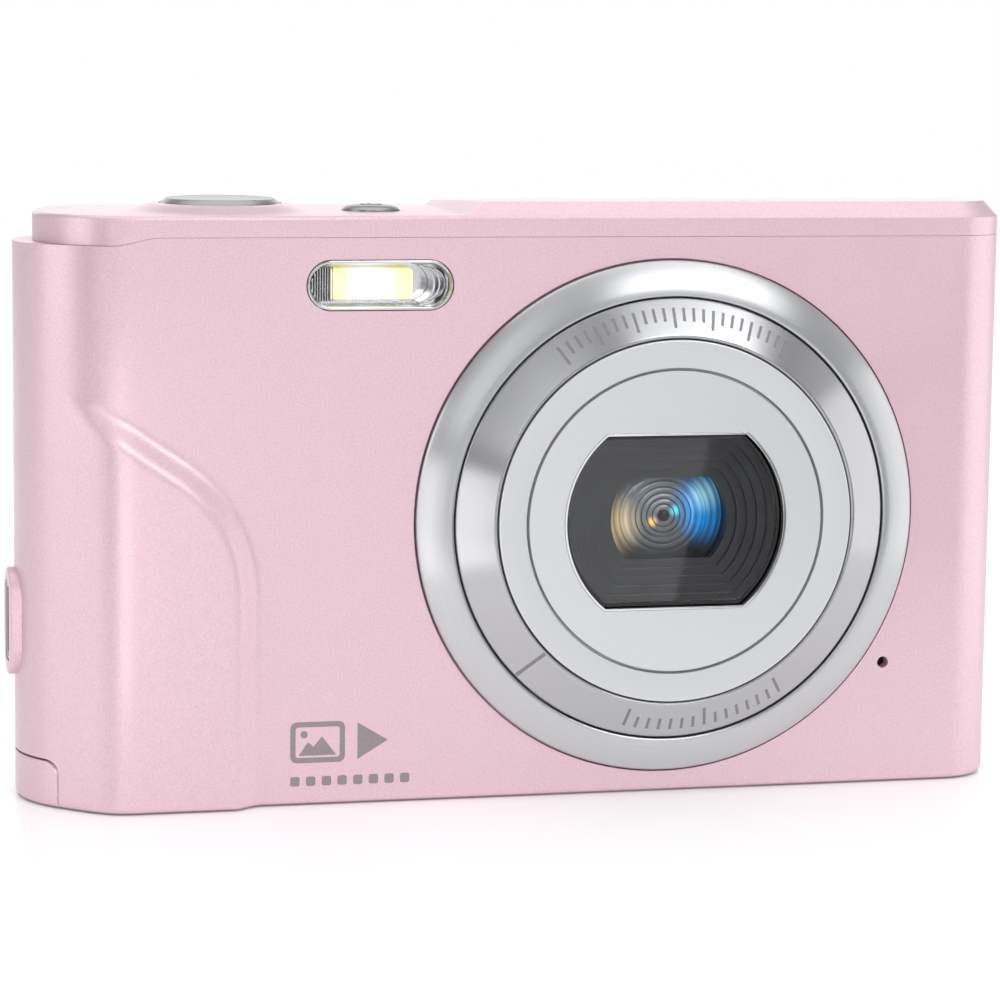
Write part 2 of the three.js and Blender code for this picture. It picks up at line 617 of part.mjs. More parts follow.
function batteryParts() {
  const { left, right, front, back, bottom, top } = BATTERY;
  const wall = 0.8;
  const roof = top + 2.8;
  const holder = cut(
    box(left - GAP - wall, right + GAP + wall, front - GAP - wall, back + 0.6, bottom, roof + wall),
    box(left - GAP, right + GAP, front - GAP, back + 0.2, 0, roof),
  );
  const cell = sideways(roundedRect(front, back, bottom, top, 0.6), left, right, 3);
  const contacts = box(left + 3, left + 13, front + 0.8, back - 1, top + 0.6, roof - GAP);
  const spring = facing(polygon([[-14, 0], [-13.6, 0], [-11, 1.9], [-8.4, 0], [-8, 0], [-11, 2.3]]), -4, -1.6);
  return [
    part("battery_holder", holder, FINISH.blackPlastic),
    part("battery", cell, FINISH.cell),
    part("battery_contacts", contacts, FINISH.brass),
    part("battery_spring", spring, FINISH.steel, [0, 0, top + 0.2]),
  ];
}

function cardParts() {
  const { left, right, front, back, bottom, top, push } = CARD;
  const shell = cut(
    box(left - 1, right + 1, front - 0.85, back + 0.6, bottom + 2, top + push + 1.2),
    box(left - 0.4, right + 0.4, front - GAP, back + GAP, 0, top + push + 0.5),
  );
  const bevel = 4;
  const card = facing(polygon([[left, bottom], [right, bottom], [right, top], [left + bevel, top],
    [left, top - bevel]]), front, back);
  return [part("card_socket", shell, FINISH.steel), part("memory_card", card, FINISH.card)];
}

function usbSocket() {
  const outer = sideways(usbOutline(0), USB.face + 0.1, USB.back);
  const room = sideways(usbOutline(-0.3), -BIG, USB.back - 0.6);
  const tongue = box(USB.face + 0.9, USB.back, USB.y - 0.35, USB.y + 0.35, USB.z - 2.6, USB.z + 2.6);
  return joined(cut(outer, room), tongue);
}

function batteryDoor() {
  const { half, thick, hingeX, hingeZ, pin } = DOOR;
  const block = standing(bodyOutline(), 0, BODY.height, 12).intersect(doorPrism(0, hingeX));
  const plate = cut(block, standing(bodyOutline(BODY.wall), thick, BIG, 10));
  const knuckle = rod(hingeZ, -half, half, 16).translate(hingeX, 0, hingeZ);
  const bore = rod(pin + 0.1, -BIG, BIG, 12).translate(hingeX, 0, hingeZ);
  return cut(joined(plate, knuckle), bore);
}

// ---------------------------------------------------------------- hardware

function tripodBush() {
  const { radius, flange, hole, depth } = TRIPOD;
  return turnedUp([[hole, 0.05], [radius, 0.05], [radius, 1.7], [flange, 1.7], [flange, 2.9], [radius, 2.9],
    [radius, depth + 1.2], [0, depth + 1.2], [0, depth], [hole, depth]]);
}

// A screw standing on its head, with a cross recess in the head's underside.
function screw() {
  const { head, headHeight, shank, length } = SCREW;
  const body = joined(post(head, 0, headHeight, 16), post(shank, 0.1, length, 12));
  const slot = 0.15;
  return cut(body, box(-0.8, 0.8, -slot, slot, -1, 0.35), box(-slot, slot, -0.8, 0.8, -1, 0.35));
}

function hardware() {
  const quarter = Math.PI / 2;
  const endX = RIGHT - SCREW.sunk;
  return [
    part("tripod_bush", tripodBush(), FINISH.brass, [TRIPOD.x, TRIPOD.y, 0]),
    part("strap_pin", post(STRAP.pin, STRAP.low - 0.7, STRAP.high + 0.7, 12), FINISH.steel, [STRAP.pinX, STRAP.pinY, 0]),
    part("door_hinge_pin", rod(DOOR.pin, -8.8, 8.8, 12), FINISH.steel, [DOOR.hingeX, 0, DOOR.hingeZ]),
    ...BASE_SCREWS.map(({ x, y }, i) => part(`base_screw_${i + 1}`, screw(), FINISH.steel, [x, y, SCREW.sunk])),
    ...END_SCREWS.map(({ z }, i) => part(`end_screw_${i + 1}`, screw(), FINISH.steel, [endX, 0, z], [0, -quarter, 0])),
  ];
}

const camera = new THREE.Group();
camera.name = "compact_camera";
camera.add(
  part("front_shell", frontShell(), FINISH.paint),
  part("rear_shell", rearShell(), FINISH.paint),
  part("top_cover", topCover(), FINISH.paint),
  part("battery_door", batteryDoor(), FINISH.paint),
  part("usb_socket", usbSocket(), FINISH.steel),
  lensGroup(),
  flashGroup(),
  ...topControls(),
  ...soundParts(),
  ...screenParts(),
  ...rearControls(),
  ...boards(),
  ...batteryParts(),
  ...cardParts(),
  ...hardware(),
);

export default camera;
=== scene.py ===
"""Looks of a compact digital camera, modelled around its CAD frame.

Lengths are in millimetres until a piece's points are placed. The lens faces -Y, +X is to the
right seen from the front, and the camera stands on z = 0.
"""

import json
import math
import sys

import bpy
from bpy.props import FloatProperty, FloatVectorProperty, IntProperty, PointerProperty
from mathutils import Matrix, Vector
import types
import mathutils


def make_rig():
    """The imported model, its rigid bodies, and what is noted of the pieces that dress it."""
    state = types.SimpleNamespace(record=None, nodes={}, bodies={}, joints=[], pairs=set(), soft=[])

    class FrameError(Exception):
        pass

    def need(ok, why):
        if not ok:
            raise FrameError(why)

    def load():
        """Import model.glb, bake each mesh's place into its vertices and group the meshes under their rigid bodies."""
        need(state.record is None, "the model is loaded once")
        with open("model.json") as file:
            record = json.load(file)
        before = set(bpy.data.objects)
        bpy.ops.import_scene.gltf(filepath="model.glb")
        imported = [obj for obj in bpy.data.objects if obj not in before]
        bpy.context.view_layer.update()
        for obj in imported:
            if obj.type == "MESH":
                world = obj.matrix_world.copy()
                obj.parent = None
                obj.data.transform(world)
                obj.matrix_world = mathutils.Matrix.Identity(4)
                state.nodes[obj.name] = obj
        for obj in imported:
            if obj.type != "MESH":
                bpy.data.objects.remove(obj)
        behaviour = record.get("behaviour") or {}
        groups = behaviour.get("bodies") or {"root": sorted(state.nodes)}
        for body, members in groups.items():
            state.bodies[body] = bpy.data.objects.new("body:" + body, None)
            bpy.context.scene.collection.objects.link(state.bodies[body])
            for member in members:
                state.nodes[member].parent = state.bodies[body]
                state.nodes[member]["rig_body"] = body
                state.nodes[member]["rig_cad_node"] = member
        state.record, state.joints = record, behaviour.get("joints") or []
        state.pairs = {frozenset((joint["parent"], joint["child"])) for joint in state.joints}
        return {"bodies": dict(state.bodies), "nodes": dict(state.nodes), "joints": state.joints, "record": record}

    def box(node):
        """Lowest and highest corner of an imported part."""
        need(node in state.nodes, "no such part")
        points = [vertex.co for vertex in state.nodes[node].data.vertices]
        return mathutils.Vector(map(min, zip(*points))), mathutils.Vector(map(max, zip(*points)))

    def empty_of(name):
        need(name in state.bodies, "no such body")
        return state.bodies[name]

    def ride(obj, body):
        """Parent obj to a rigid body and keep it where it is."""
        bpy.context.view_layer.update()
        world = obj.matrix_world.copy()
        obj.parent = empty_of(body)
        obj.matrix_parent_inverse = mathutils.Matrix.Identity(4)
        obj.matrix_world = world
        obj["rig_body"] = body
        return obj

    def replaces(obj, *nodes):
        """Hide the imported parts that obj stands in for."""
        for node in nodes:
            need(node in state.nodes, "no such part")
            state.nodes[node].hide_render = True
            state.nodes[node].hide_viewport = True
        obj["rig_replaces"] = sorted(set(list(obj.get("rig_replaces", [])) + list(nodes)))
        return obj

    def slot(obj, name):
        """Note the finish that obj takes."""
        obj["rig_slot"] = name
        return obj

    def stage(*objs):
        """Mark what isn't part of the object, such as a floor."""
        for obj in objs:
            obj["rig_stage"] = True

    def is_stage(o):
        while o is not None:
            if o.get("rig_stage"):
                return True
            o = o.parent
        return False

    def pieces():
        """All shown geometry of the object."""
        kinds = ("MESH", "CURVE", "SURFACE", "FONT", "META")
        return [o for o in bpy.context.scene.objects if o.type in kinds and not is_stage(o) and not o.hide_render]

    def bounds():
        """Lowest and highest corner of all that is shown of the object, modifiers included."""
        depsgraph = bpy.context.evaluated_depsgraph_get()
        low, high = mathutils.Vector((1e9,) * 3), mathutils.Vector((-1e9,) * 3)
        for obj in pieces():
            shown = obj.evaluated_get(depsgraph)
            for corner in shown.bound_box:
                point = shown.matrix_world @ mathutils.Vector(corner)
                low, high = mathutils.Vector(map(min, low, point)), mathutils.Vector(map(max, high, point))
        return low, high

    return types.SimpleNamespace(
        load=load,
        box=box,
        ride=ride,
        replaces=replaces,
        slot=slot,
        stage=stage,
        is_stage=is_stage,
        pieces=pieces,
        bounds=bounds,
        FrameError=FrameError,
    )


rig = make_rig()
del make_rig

bl_info = {
    "name": "Compact digital camera",
    "version": (1, 0, 0),
    "blender": (4, 5, 0),
    "location": "3D View > Sidebar > Camera",
    "description": "Models the visible pieces of a slim pocket camera around its frame",
    "category": "Object",
}

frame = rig.load()
CAD_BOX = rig.bounds()
MM = 0.001

# Body, in millimetres
END_RADIUS = 10  # round left end
CORNER_RADIUS = 5.5  # the two upright edges of the right end
WALL = 1.4
SPLIT = 3.55  # plane between the front and rear shells
DOOR_SEAM = 0.11
SEAM = 0.03  # half of a closed seam's width
EDGE = 0.17  # softening of moulded edges
LEDGE_DROP = 0.75  # the body's top edge is lower round its left end
LEDGE_FOOT = -39.5
LEDGE_HEAD = -35.2
GRIP_PROUD = 1.45
GRIP_SLOPE = 2.0
GRIP_ROUND = 0.2  # share of the slope that rounds its head and foot
GRIP_STEP = 0.34  # spacing of the points that carry the grip's curve
GRIP_TOP = 50
GRIP_FADE = -39.0  # left of this the crest melts into the round end

# Other pieces, in millimetres
COVER_INSET = 1.9
HUMP_LEFT = -6.6
CROWN = math.radians(2.4)  # fall of the higher part's top towards the back
RING_STEPS = 144
FLASH_RIM = 0.28


def middle(node):
    """The middle of a CAD node's box, in millimetres."""
    low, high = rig.box(node)
    return (low + high) / 2 / MM


def low_corner(node):
    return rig.box(node)[0] / MM


def high_corner(node):
    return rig.box(node)[1] / MM


RIGHT = high_corner("rear_shell").x
LEFT = -RIGHT
BACK = 10.0
FRONT = -BACK
SHELL_TOP = high_corner("rear_shell").z
END_X = LEFT + END_RADIUS
LENS = middle("lens_bezel_ring")
FLASH = middle("flash_window")
SHUTTER = middle("shutter_button")
POWER = middle("power_button")


# ------------------------------------------------------------------ settings


class CameraFinish(bpy.types.PropertyGroup):
    """Colours of the finishes."""

    paint: FloatVectorProperty(
        name="Paint",
        description="Pearl paint of the casing",
        subtype="COLOR",
        size=3,
        default=(0.745, 0.53, 0.595),
    )
    silver: FloatVectorProperty(
        name="Silver",
        description="Satin silver of the lens disc and keys",
        subtype="COLOR",
        size=3,
        default=(0.67, 0.68, 0.70),
    )
    lamp: FloatVectorProperty(
        name="Lamp",
        description="Light of the lit lamp",
        subtype="COLOR",
        size=3,
        default=(1.0, 0.93, 0.55),
    )
    lamp_power: FloatProperty(
        name="Lamp strength",
        description="Brightness of the lit lamp",
        default=0.8,
        min=0,
    )


class CameraStage(bpy.types.PropertyGroup):
    """Floor, lights and viewpoint."""

    floor_size: FloatProperty(
        name="Floor size",
        description="Side of the square floor",
        default=1.8,
        unit="LENGTH",
    )
    focal_length: FloatProperty(
        name="Focal length",
        description="Lens of the viewpoint, in millimetres",
        default=128.45,
    )
    ring_ticks: IntProperty(
        name="Index ticks",
        description="Ticks on the upper arc of the lens ring",
        default=25,
        min=3,
    )


# ------------------------------------------------------------------ modelling helpers


def deselect():
    if bpy.context.mode != "OBJECT":
        bpy.ops.object.mode_set(mode="OBJECT")
    bpy.ops.object.select_all(action="DESELECT")


def make_active(piece):
    deselect()
    piece.select_set(True)
    bpy.context.view_layer.objects.active = piece


def edit_all(piece):
    make_active(piece)
    bpy.ops.object.mode_set(mode="EDIT")
    bpy.ops.mesh.select_all(action="SELECT")


def end_edit(outward=True):
    bpy.ops.mesh.select_all(action="SELECT")
    bpy.ops.mesh.remove_doubles(threshold=2e-7)
    if outward:
        bpy.ops.mesh.normals_make_consistent(inside=False)
    bpy.ops.object.mode_set(mode="OBJECT")


def arc(cx, cy, radius, start, end, steps, radius_y=None):
    """Points on an arc, angles in degrees; radius_y makes it part of an ellipse."""
    tall = radius if radius_y is None else radius_y
    angles = [math.radians(start + (end - start) * i / steps) for i in range(steps + 1)]
    return [(cx + radius * math.cos(a), cy + tall * math.sin(a)) for a in angles]


def rounded_rect(x0, x1, y0, y1, r, steps=8):
    return (
        arc(x1 - r, y0 + r, r, -90, 0, steps)
        + arc(x1 - r, y1 - r, r, 0, 90, steps)
        + arc(x0 + r, y1 - r, r, 90, 180, steps)
        + arc(x0 + r, y0 + r, r, 180, 270, steps)
    )


def capsule(cx, cy, width, height, steps=16):
    r = min(width, height) / 2 - 0.005
    return rounded_rect(cx - width / 2, cx + width / 2, cy - height / 2, cy + height / 2, r, steps)


def flattened(cx, cy, radius, half, steps=28):
    """A circle whose top and bottom are cut off flat."""
    angle = math.degrees(math.asin(half / radius))
    return arc(cx, cy, radius, -angle, angle, steps) + arc(cx, cy, radius, 180 - angle, 180 + angle, steps)


def plan_outline(inset=0, end_steps=64, reach=END_RADIUS):
    """The body from above: round left end, two round corners at the right."""
    half = BACK - inset
    corner = CORNER_RADIUS - inset
    right = RIGHT - inset
    return (
        arc(right - corner, -half + corner, corner, -90, 0, 12)
        + arc(right - corner, half - corner, corner, 0, 90, 12)
        + arc(END_X, 0, reach - inset, 90, 270, end_steps, half)
    )


def loop_of(name, points):
    """A closed loop of edges through the points, which are given in millimetres."""
    deselect()
    bpy.ops.mesh.primitive_circle_add(vertices=len(points), radius=1, fill_type="NOTHING")
    piece = bpy.context.object
    piece.name = name
    piece.data.name = name
    for vertex, point in zip(piece.data.vertices, points):
        vertex.co = Vector(point) * MM
    return piece


def lofted(name, rings):
    """A closed solid through rings of the same number of points, both ends filled."""
    piece = loop_of(name, rings[0])
    edit_all(piece)
    bpy.ops.mesh.edge_face_add()
    for ring in rings[1:]:
        bpy.ops.mesh.extrude_region_move()
        bpy.ops.object.mode_set(mode="OBJECT")
        moved = [v for v in piece.data.vertices if v.select]
        for vertex, point in zip(moved, ring):
            vertex.co = Vector(point) * MM
        bpy.ops.object.mode_set(mode="EDIT")
    end_edit()
    return piece


def standing(name, outline, low, high):
    """An XY outline from one height to another."""
    return lofted(name, [[(x, y, z) for x, y in outline] for z in (low, high)])


def facing(name, outline, front, back):
    """An XZ outline, seen from the front, from one y to another."""
    return lofted(name, [[(x, y, z) for x, z in outline] for y in (front, back)])


def sideways(name, outline, x0, x1):
    """A YZ outline from one x to another."""
    return lofted(name, [[(x, y, z) for y, z in outline] for x in (x0, x1)])


def block(name, x0, x1, y0, y1, z0, z1):
    corners = [(x0, y0), (x1, y0), (x1, y1), (x0, y1)]
    return standing(name, corners, z0, z1)


def turned(name, profile, centre, axis="Y", steps=RING_STEPS):
    """A closed profile of (radius, place along the axis) spun about the axis through the centre."""
    cx, cy, cz = centre
    if axis == "Y":
        points = [(cx + r, y, cz) for r, y in profile]
        turn = (0, 1, 0)
    else:
        points = [(cx + r, cy, z) for r, z in profile]
        turn = (0, 0, 1)
    piece = loop_of(name, points)
    edit_all(piece)
    bpy.ops.mesh.spin(steps=steps, angle=2 * math.pi, center=Vector(centre) * MM, axis=turn)
    bpy.ops.mesh.select_all(action="SELECT")
    bpy.ops.mesh.remove_doubles(threshold=2e-7)
    bpy.ops.mesh.dissolve_degenerate(threshold=1e-7)
    bpy.ops.mesh.delete_loose()
    end_edit()
    return piece


def rod(name, centre, radius, low, high, axis="Y", steps=48):
    return turned(name, [(0, low), (radius, low), (radius, high), (0, high)], centre, axis, steps)


def apply(piece, modifier):
    make_active(piece)
    bpy.ops.object.modifier_apply(modifier=modifier.name)


def combine(piece, tools, operation):
    for tool in tools:
        modifier = piece.modifiers.new("Shape", "BOOLEAN")
        modifier.operation = operation
        modifier.solver = "EXACT"
        modifier.object = tool
        apply(piece, modifier)
        bpy.data.meshes.remove(tool.data)
    return piece


def cut(piece, *tools):
    return combine(piece, tools, "DIFFERENCE")


def join(piece, *tools):
    return combine(piece, tools, "UNION")


def keep(piece, *tools):
    return combine(piece, tools, "INTERSECT")


def slice_off(piece, point, normal):
    """Removes what lies on the normal's side of the plane and closes the cut."""
    edit_all(piece)
    bpy.ops.mesh.bisect(
        plane_co=Vector(point) * MM,
        plane_no=normal,
        use_fill=True,
        clear_outer=True,
    )
    end_edit()
    return piece


def soften(piece, width=EDGE, segments=2, angle=35):
    """Rounds the sharp edges, then smooths the shading."""
    bevel = piece.modifiers.new("Edges", "BEVEL")
    bevel.width = width * MM
    bevel.segments = segments
    bevel.limit_method = "ANGLE"
    bevel.angle_limit = math.radians(angle)
    bevel.harden_normals = False
    bevel.miter_outer = "MITER_ARC"
    apply(piece, bevel)
    make_active(piece)
    bpy.ops.object.shade_smooth_by_angle(angle=math.radians(angle))
    weigh = piece.modifiers.new("Normals", "WEIGHTED_NORMAL")
    weigh.keep_sharp = True
    apply(piece, weigh)
    return piece


def bevel_edges(piece, width, segments, wanted):
    """Rounds the edges whose two ends both satisfy wanted, which is given millimetres."""
    make_active(piece)
    mesh = piece.data
    for item in (*mesh.vertices, *mesh.edges, *mesh.polygons):
        item.select = False
    for edge in mesh.edges:
        ends = [mesh.vertices[i].co / MM for i in edge.vertices]
        edge.select = all(wanted(end) for end in ends)
    bpy.ops.object.mode_set(mode="EDIT")
    bpy.ops.mesh.select_mode(type="EDGE")
    bpy.ops.mesh.bevel(offset=width * MM, segments=segments, affect="EDGES", clamp_overlap=True)
    bpy.ops.mesh.select_mode(type="VERT")
    end_edit()
    return piece


def settle(piece, body, slot, material, *nodes):
    """Gives a finished piece its material, its body, its slot and the CAD nodes it stands for."""
    piece.data.materials.clear()
    piece.data.materials.append(material)
    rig.ride(piece, body)
    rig.slot(piece, slot)
    for node in nodes:
        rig.replaces(piece, node)
    return piece


def one_mesh(name, pieces):
    """Joins several small meshes into one object."""
    deselect()
    for piece in pieces:
        piece.select_set(True)
    bpy.context.view_layer.objects.active = pieces[0]
    bpy.ops.object.join()
    pieces[0].name = name
    pieces[0].data.name = name
    return pieces[0]


# ------------------------------------------------------------------ material helpers

MATERIALS = {}


class Finish:
    """A Principled material that is built up with a few procedural layers."""

    def __init__(self, name, colour, roughness, **constants):
        self.material = bpy.data.materials.new(name)
        self.material.use_nodes = True
        self.tree = self.material.node_tree
        self.shader = self.tree.nodes["Principled BSDF"]
        self.colour = tuple(colour)[:3]
        self.roughness = roughness
        self.shader.inputs["Base Color"].default_value = (*self.colour, 1)
        self.shader.inputs["Roughness"].default_value = roughness
        for key, value in constants.items():
            self.shader.inputs[key.replace("_", " ")].default_value = value
        self.place = self.add("ShaderNodeTexCoord").outputs["Object"]
        self.height = None

    def add(self, kind, inputs=None, **settings):
        node = self.tree.nodes.new(kind)
        for key, value in settings.items():
            setattr(node, key, value)
        for key, value in (inputs or {}).items():
            if isinstance(value, bpy.types.NodeSocket):
                self.tree.links.new(value, node.inputs[key])
            else:
                node.inputs[key].default_value = value
        return node

    def noise(self, size, detail=2.0, place=None):
        """Noise whose grains are about size millimetres across."""
        inputs = {"Vector": place or self.place, "Scale": 1 / (size * MM), "Detail": detail}
        return self.add("ShaderNodeTexNoise", inputs).outputs["Fac"]

    def math(self, operation, a, b=0.0, clamp=False):
        return self.add("ShaderNodeMath", {0: a, 1: b}, operation=operation, use_clamp=clamp).outputs[0]

    def remap(self, value, low, high, to_low=0.0, to_high=1.0):
        inputs = {"Value": value, "From Min": low, "From Max": high, "To Min": to_low, "To Max": to_high}
        return self.add("ShaderNodeMapRange", inputs).outputs[0]

    def mix(self, share, first, second):
        node = self.add("ShaderNodeMix", {0: share}, data_type="RGBA")
        for index, value in ((6, first), (7, second)):
            if isinstance(value, bpy.types.NodeSocket):
                self.tree.links.new(value, node.inputs[index])
            else:
                node.inputs[index].default_value = (*value[:3], 1)
        return node.outputs[2]

    def tinted(self, factor):
        return tuple(min(1.0, c * factor) for c in self.colour)

    def set_colour(self, socket):
        self.tree.links.new(socket, self.shader.inputs["Base Color"])

    def set_roughness(self, socket):
        self.tree.links.new(socket, self.shader.inputs["Roughness"])

    def bump(self, height, depth):
        """Adds relief of the given depth in millimetres."""
        inputs = {"Height": height, "Distance": depth * MM, "Strength": 1.0}
        if self.height is not None:
            inputs["Normal"] = self.height
        self.height = self.add("ShaderNodeBump", inputs).outputs["Normal"]
        self.tree.links.new(self.height, self.shader.inputs["Normal"])

    def smudges(self, amount=0.06, size=9.0):
        """Faint handling marks: the roughness varies a little over the surface."""
        value = self.remap(self.noise(size, 5.0), 0.35, 0.7, self.roughness - amount / 2, self.roughness + amount)
        self.set_roughness(value)

    def mottle(self, size, spread):
        """Slight colour variation of the given share."""
        share = self.remap(self.noise(size, 3.0), 0.3, 0.7)
        self.set_colour(self.mix(share, self.tinted(1 - spread), self.tinted(1 + spread)))


def finish_named(name):
    """Each material is made once, by the function of the same name."""
    if name not in MATERIALS:
        MATERIALS[name] = globals()[name](name).material
    return MATERIALS[name]


def pearl_paint(name):
    """Satin pearl paint: fine grain, sparse bright flecks, a thin clear coat and a painted contact shadow, a dark line
    along its foot.
    """
    colour = bpy.context.scene.camera_finish.paint
    f = Finish(name, colour, 0.34, Metallic=0.35, Coat_Weight=0.2, Coat_Roughness=0.3)
    grain = f.noise(0.2, 2.0)
    broad = f.noise(1.2, 2.0)
    share = f.remap(f.math("ADD", grain, f.math("MULTIPLY", broad, 0.12)), 0.40, 0.70)
    body = f.mix(share, f.tinted(0.945), f.tinted(1.055))
    cells = f.add("ShaderNodeTexVoronoi", {"Vector": f.place, "Scale": 1 / (0.4 * MM)})
    fleck = f.remap(cells.outputs["Distance"], 0.18, 0.05)
    body = f.mix(f.math("MULTIPLY", fleck, 0.4), body, (0.98, 0.84, 0.88))
    # Painted contact shadow: the colour darkens to a dark maroon in the lowest third of a millimetre above the floor.
    height = f.add("ShaderNodeSeparateXYZ", {0: f.place}).outputs["Z"]
    foot = f.remap(height, 0.34 * MM, 0.14 * MM)
    f.set_colour(f.mix(f.math("MULTIPLY", foot, 0.8), body, (0.13, 0.06, 0.08)))
    f.smudges(0.05)
    f.bump(f.noise(0.2, 3.0), 0.009)
    return f


def lens_radius(f):
    """Distance from the lens axis, in millimetres."""
    moved = f.add("ShaderNodeVectorMath", {0: f.place, 1: LENS * MM}, operation="SUBTRACT")
    flat = f.add("ShaderNodeVectorMath", {0: moved.outputs[0], 1: (1, 0, 1)}, operation="MULTIPLY")
    length = f.add("ShaderNodeVectorMath", {0: flat.outputs[0]}, operation="LENGTH")
    return f.math("MULTIPLY", length.outputs["Value"], 1 / MM)


def fine_rings(f, pitch, depth):
    """Fine grooves left by turning, round the lens axis."""
    value = f.math("MULTIPLY", lens_radius(f), 1 / pitch)
    grooves = f.add("ShaderNodeTexNoise", {"W": value, "Scale": 1.0, "Detail": 3.0}, noise_dimensions="1D")
    f.bump(grooves.outputs["Fac"], depth)
    return grooves.outputs["Fac"]


def spun_metal(name, colour, roughness, pitch):
    """Turned metal: its highlights fan out from the lens axis."""
    f = Finish(name, colour, roughness, Metallic=1.0, Anisotropic=0.8)
    f.shader.inputs["Anisotropic Rotation"].default_value = 0.25
    tangent = f.add("ShaderNodeTangent", direction_type="RADIAL", axis="Y")
    f.tree.links.new(tangent.outputs[0], f.shader.inputs["Tangent"])
    grooves = fine_rings(f, pitch, 0.0012)
    f.set_colour(f.mix(grooves, f.tinted(0.93), f.tinted(1.06)))
    return f


def turned_silver(name):
    """Bright turned metal of the conical lens ring."""
    return spun_metal(name, (0.50, 0.505, 0.525), 0.26, 0.12)


def ring_silver(name):
    """Satin turned metal of the outer lens ring."""
    return spun_metal(name, (0.60, 0.61, 0.625), 0.32, 0.16)


def lamp_chrome(name):
    """Bright plating round and behind the lamp."""
    f = Finish(name, (0.66, 0.66, 0.67), 0.14, Metallic=1.0)
    f.smudges(0.06, 2.0)
    return f


def bright_chrome(name):
    f = Finish(name, (0.82, 0.83, 0.85), 0.14, Metallic=1.0)
    f.smudges(0.08, 4.0)
    return f


def satin_silver(name):
    """Pale satin metal paint of the lens disc."""
    f = Finish(name, bpy.context.scene.camera_finish.silver, 0.36, Metallic=0.5, Coat_Weight=0.1)
    grooves = fine_rings(f, 0.2, 0.0008)
    f.set_colour(f.mix(grooves, f.tinted(0.96), f.tinted(1.04)))
    return f


def key_silver(name):
    """Satin silver of the keys, with a fine blasted grain."""
    f = Finish(name, bpy.context.scene.camera_finish.silver, 0.32, Metallic=0.7)
    f.mottle(0.3, 0.03)
    f.bump(f.noise(0.12, 2.0), 0.002)
    return f


def brushed_cap(name):
    """Turned top of the shutter and power buttons: grooves about the shutter button's upright axis."""
    f = Finish(name, (0.36, 0.36, 0.365), 0.34, Metallic=1.0)
    centre = f.add("ShaderNodeVectorMath", {0: f.place, 1: SHUTTER * MM}, operation="SUBTRACT")
    flat = f.add("ShaderNodeVectorMath", {0: centre.outputs[0], 1: (1, 1, 0)}, operation="MULTIPLY")
    length = f.add("ShaderNodeVectorMath", {0: flat.outputs[0]}, operation="LENGTH")
    value = f.math("MULTIPLY", length.outputs["Value"], 1 / (0.15 * MM))
    grooves = f.add("ShaderNodeTexNoise", {"W": value, "Scale": 1.0}, noise_dimensions="1D")
    f.bump(grooves.outputs["Fac"], 0.004)
    f.set_colour(f.mix(grooves.outputs["Fac"], f.tinted(0.9), f.tinted(1.1)))
    return f


def plain_steel(name):
    f = Finish(name, (0.56, 0.57, 0.59), 0.32, Metallic=1.0)
    f.mottle(1.5, 0.06)
    f.smudges(0.12, 2.0)
    return f


def plain_brass(name):
    f = Finish(name, (0.76, 0.58, 0.26), 0.3, Metallic=1.0)
    f.mottle(1.2, 0.08)
    f.smudges(0.1, 2.0)
    return f


def matt_black(name):
    f = Finish(name, (0.018, 0.018, 0.02), 0.5)
    f.mottle(0.5, 0.15)
    f.bump(f.noise(0.15, 2.0), 0.005)
    return f


def gloss_black(name):
    """Polished black of the window plate, with faint polishing haze."""
    f = Finish(name, (0.013, 0.013, 0.014), 0.3)
    f.mottle(3.0, 0.2)
    f.smudges(0.05, 5.0)
    return f


def screen_black(name):
    """Dark screen cover, a little lighter over the lit area of the panel."""
    f = Finish(name, (0.008, 0.008, 0.01), 0.07, Coat_Weight=1.0, Coat_Roughness=0.02)
    x, _, z = middle("lcd_window")
    axes = f.add("ShaderNodeSeparateXYZ", {0: f.place})
    off_x = f.math("ABSOLUTE", f.math("SUBTRACT", axes.outputs["X"], x * MM))
    off_z = f.math("ABSOLUTE", f.math("SUBTRACT", axes.outputs["Z"], z * MM))
    inside = f.math("MULTIPLY", f.math("LESS_THAN", off_x, 25.4 * MM), f.math("LESS_THAN", off_z, 19.1 * MM))
    f.set_colour(f.mix(inside, f.colour, (0.022, 0.026, 0.034)))
    f.smudges(0.05, 7.0)
    return f


def spot(f, across, up, reach, core=0.0):
    """Mask for a painted reflection or glint: 1 near a point given in millimetres from the lens axis, falling to 0 at
    its reach.
    """
    place = (LENS + Vector((across, 0, up))) * MM
    moved = f.add("ShaderNodeVectorMath", {0: f.place, 1: place}, operation="SUBTRACT")
    flat = f.add("ShaderNodeVectorMath", {0: moved.outputs[0], 1: (1, 0, 1)}, operation="MULTIPLY")
    away = f.add("ShaderNodeVectorMath", {0: flat.outputs[0]}, operation="LENGTH").outputs["Value"]
    inputs = {"Value": away, "From Min": reach * MM, "From Max": core * MM}
    return f.add("ShaderNodeMapRange", inputs, interpolation_type="SMOOTHSTEP").outputs[0]


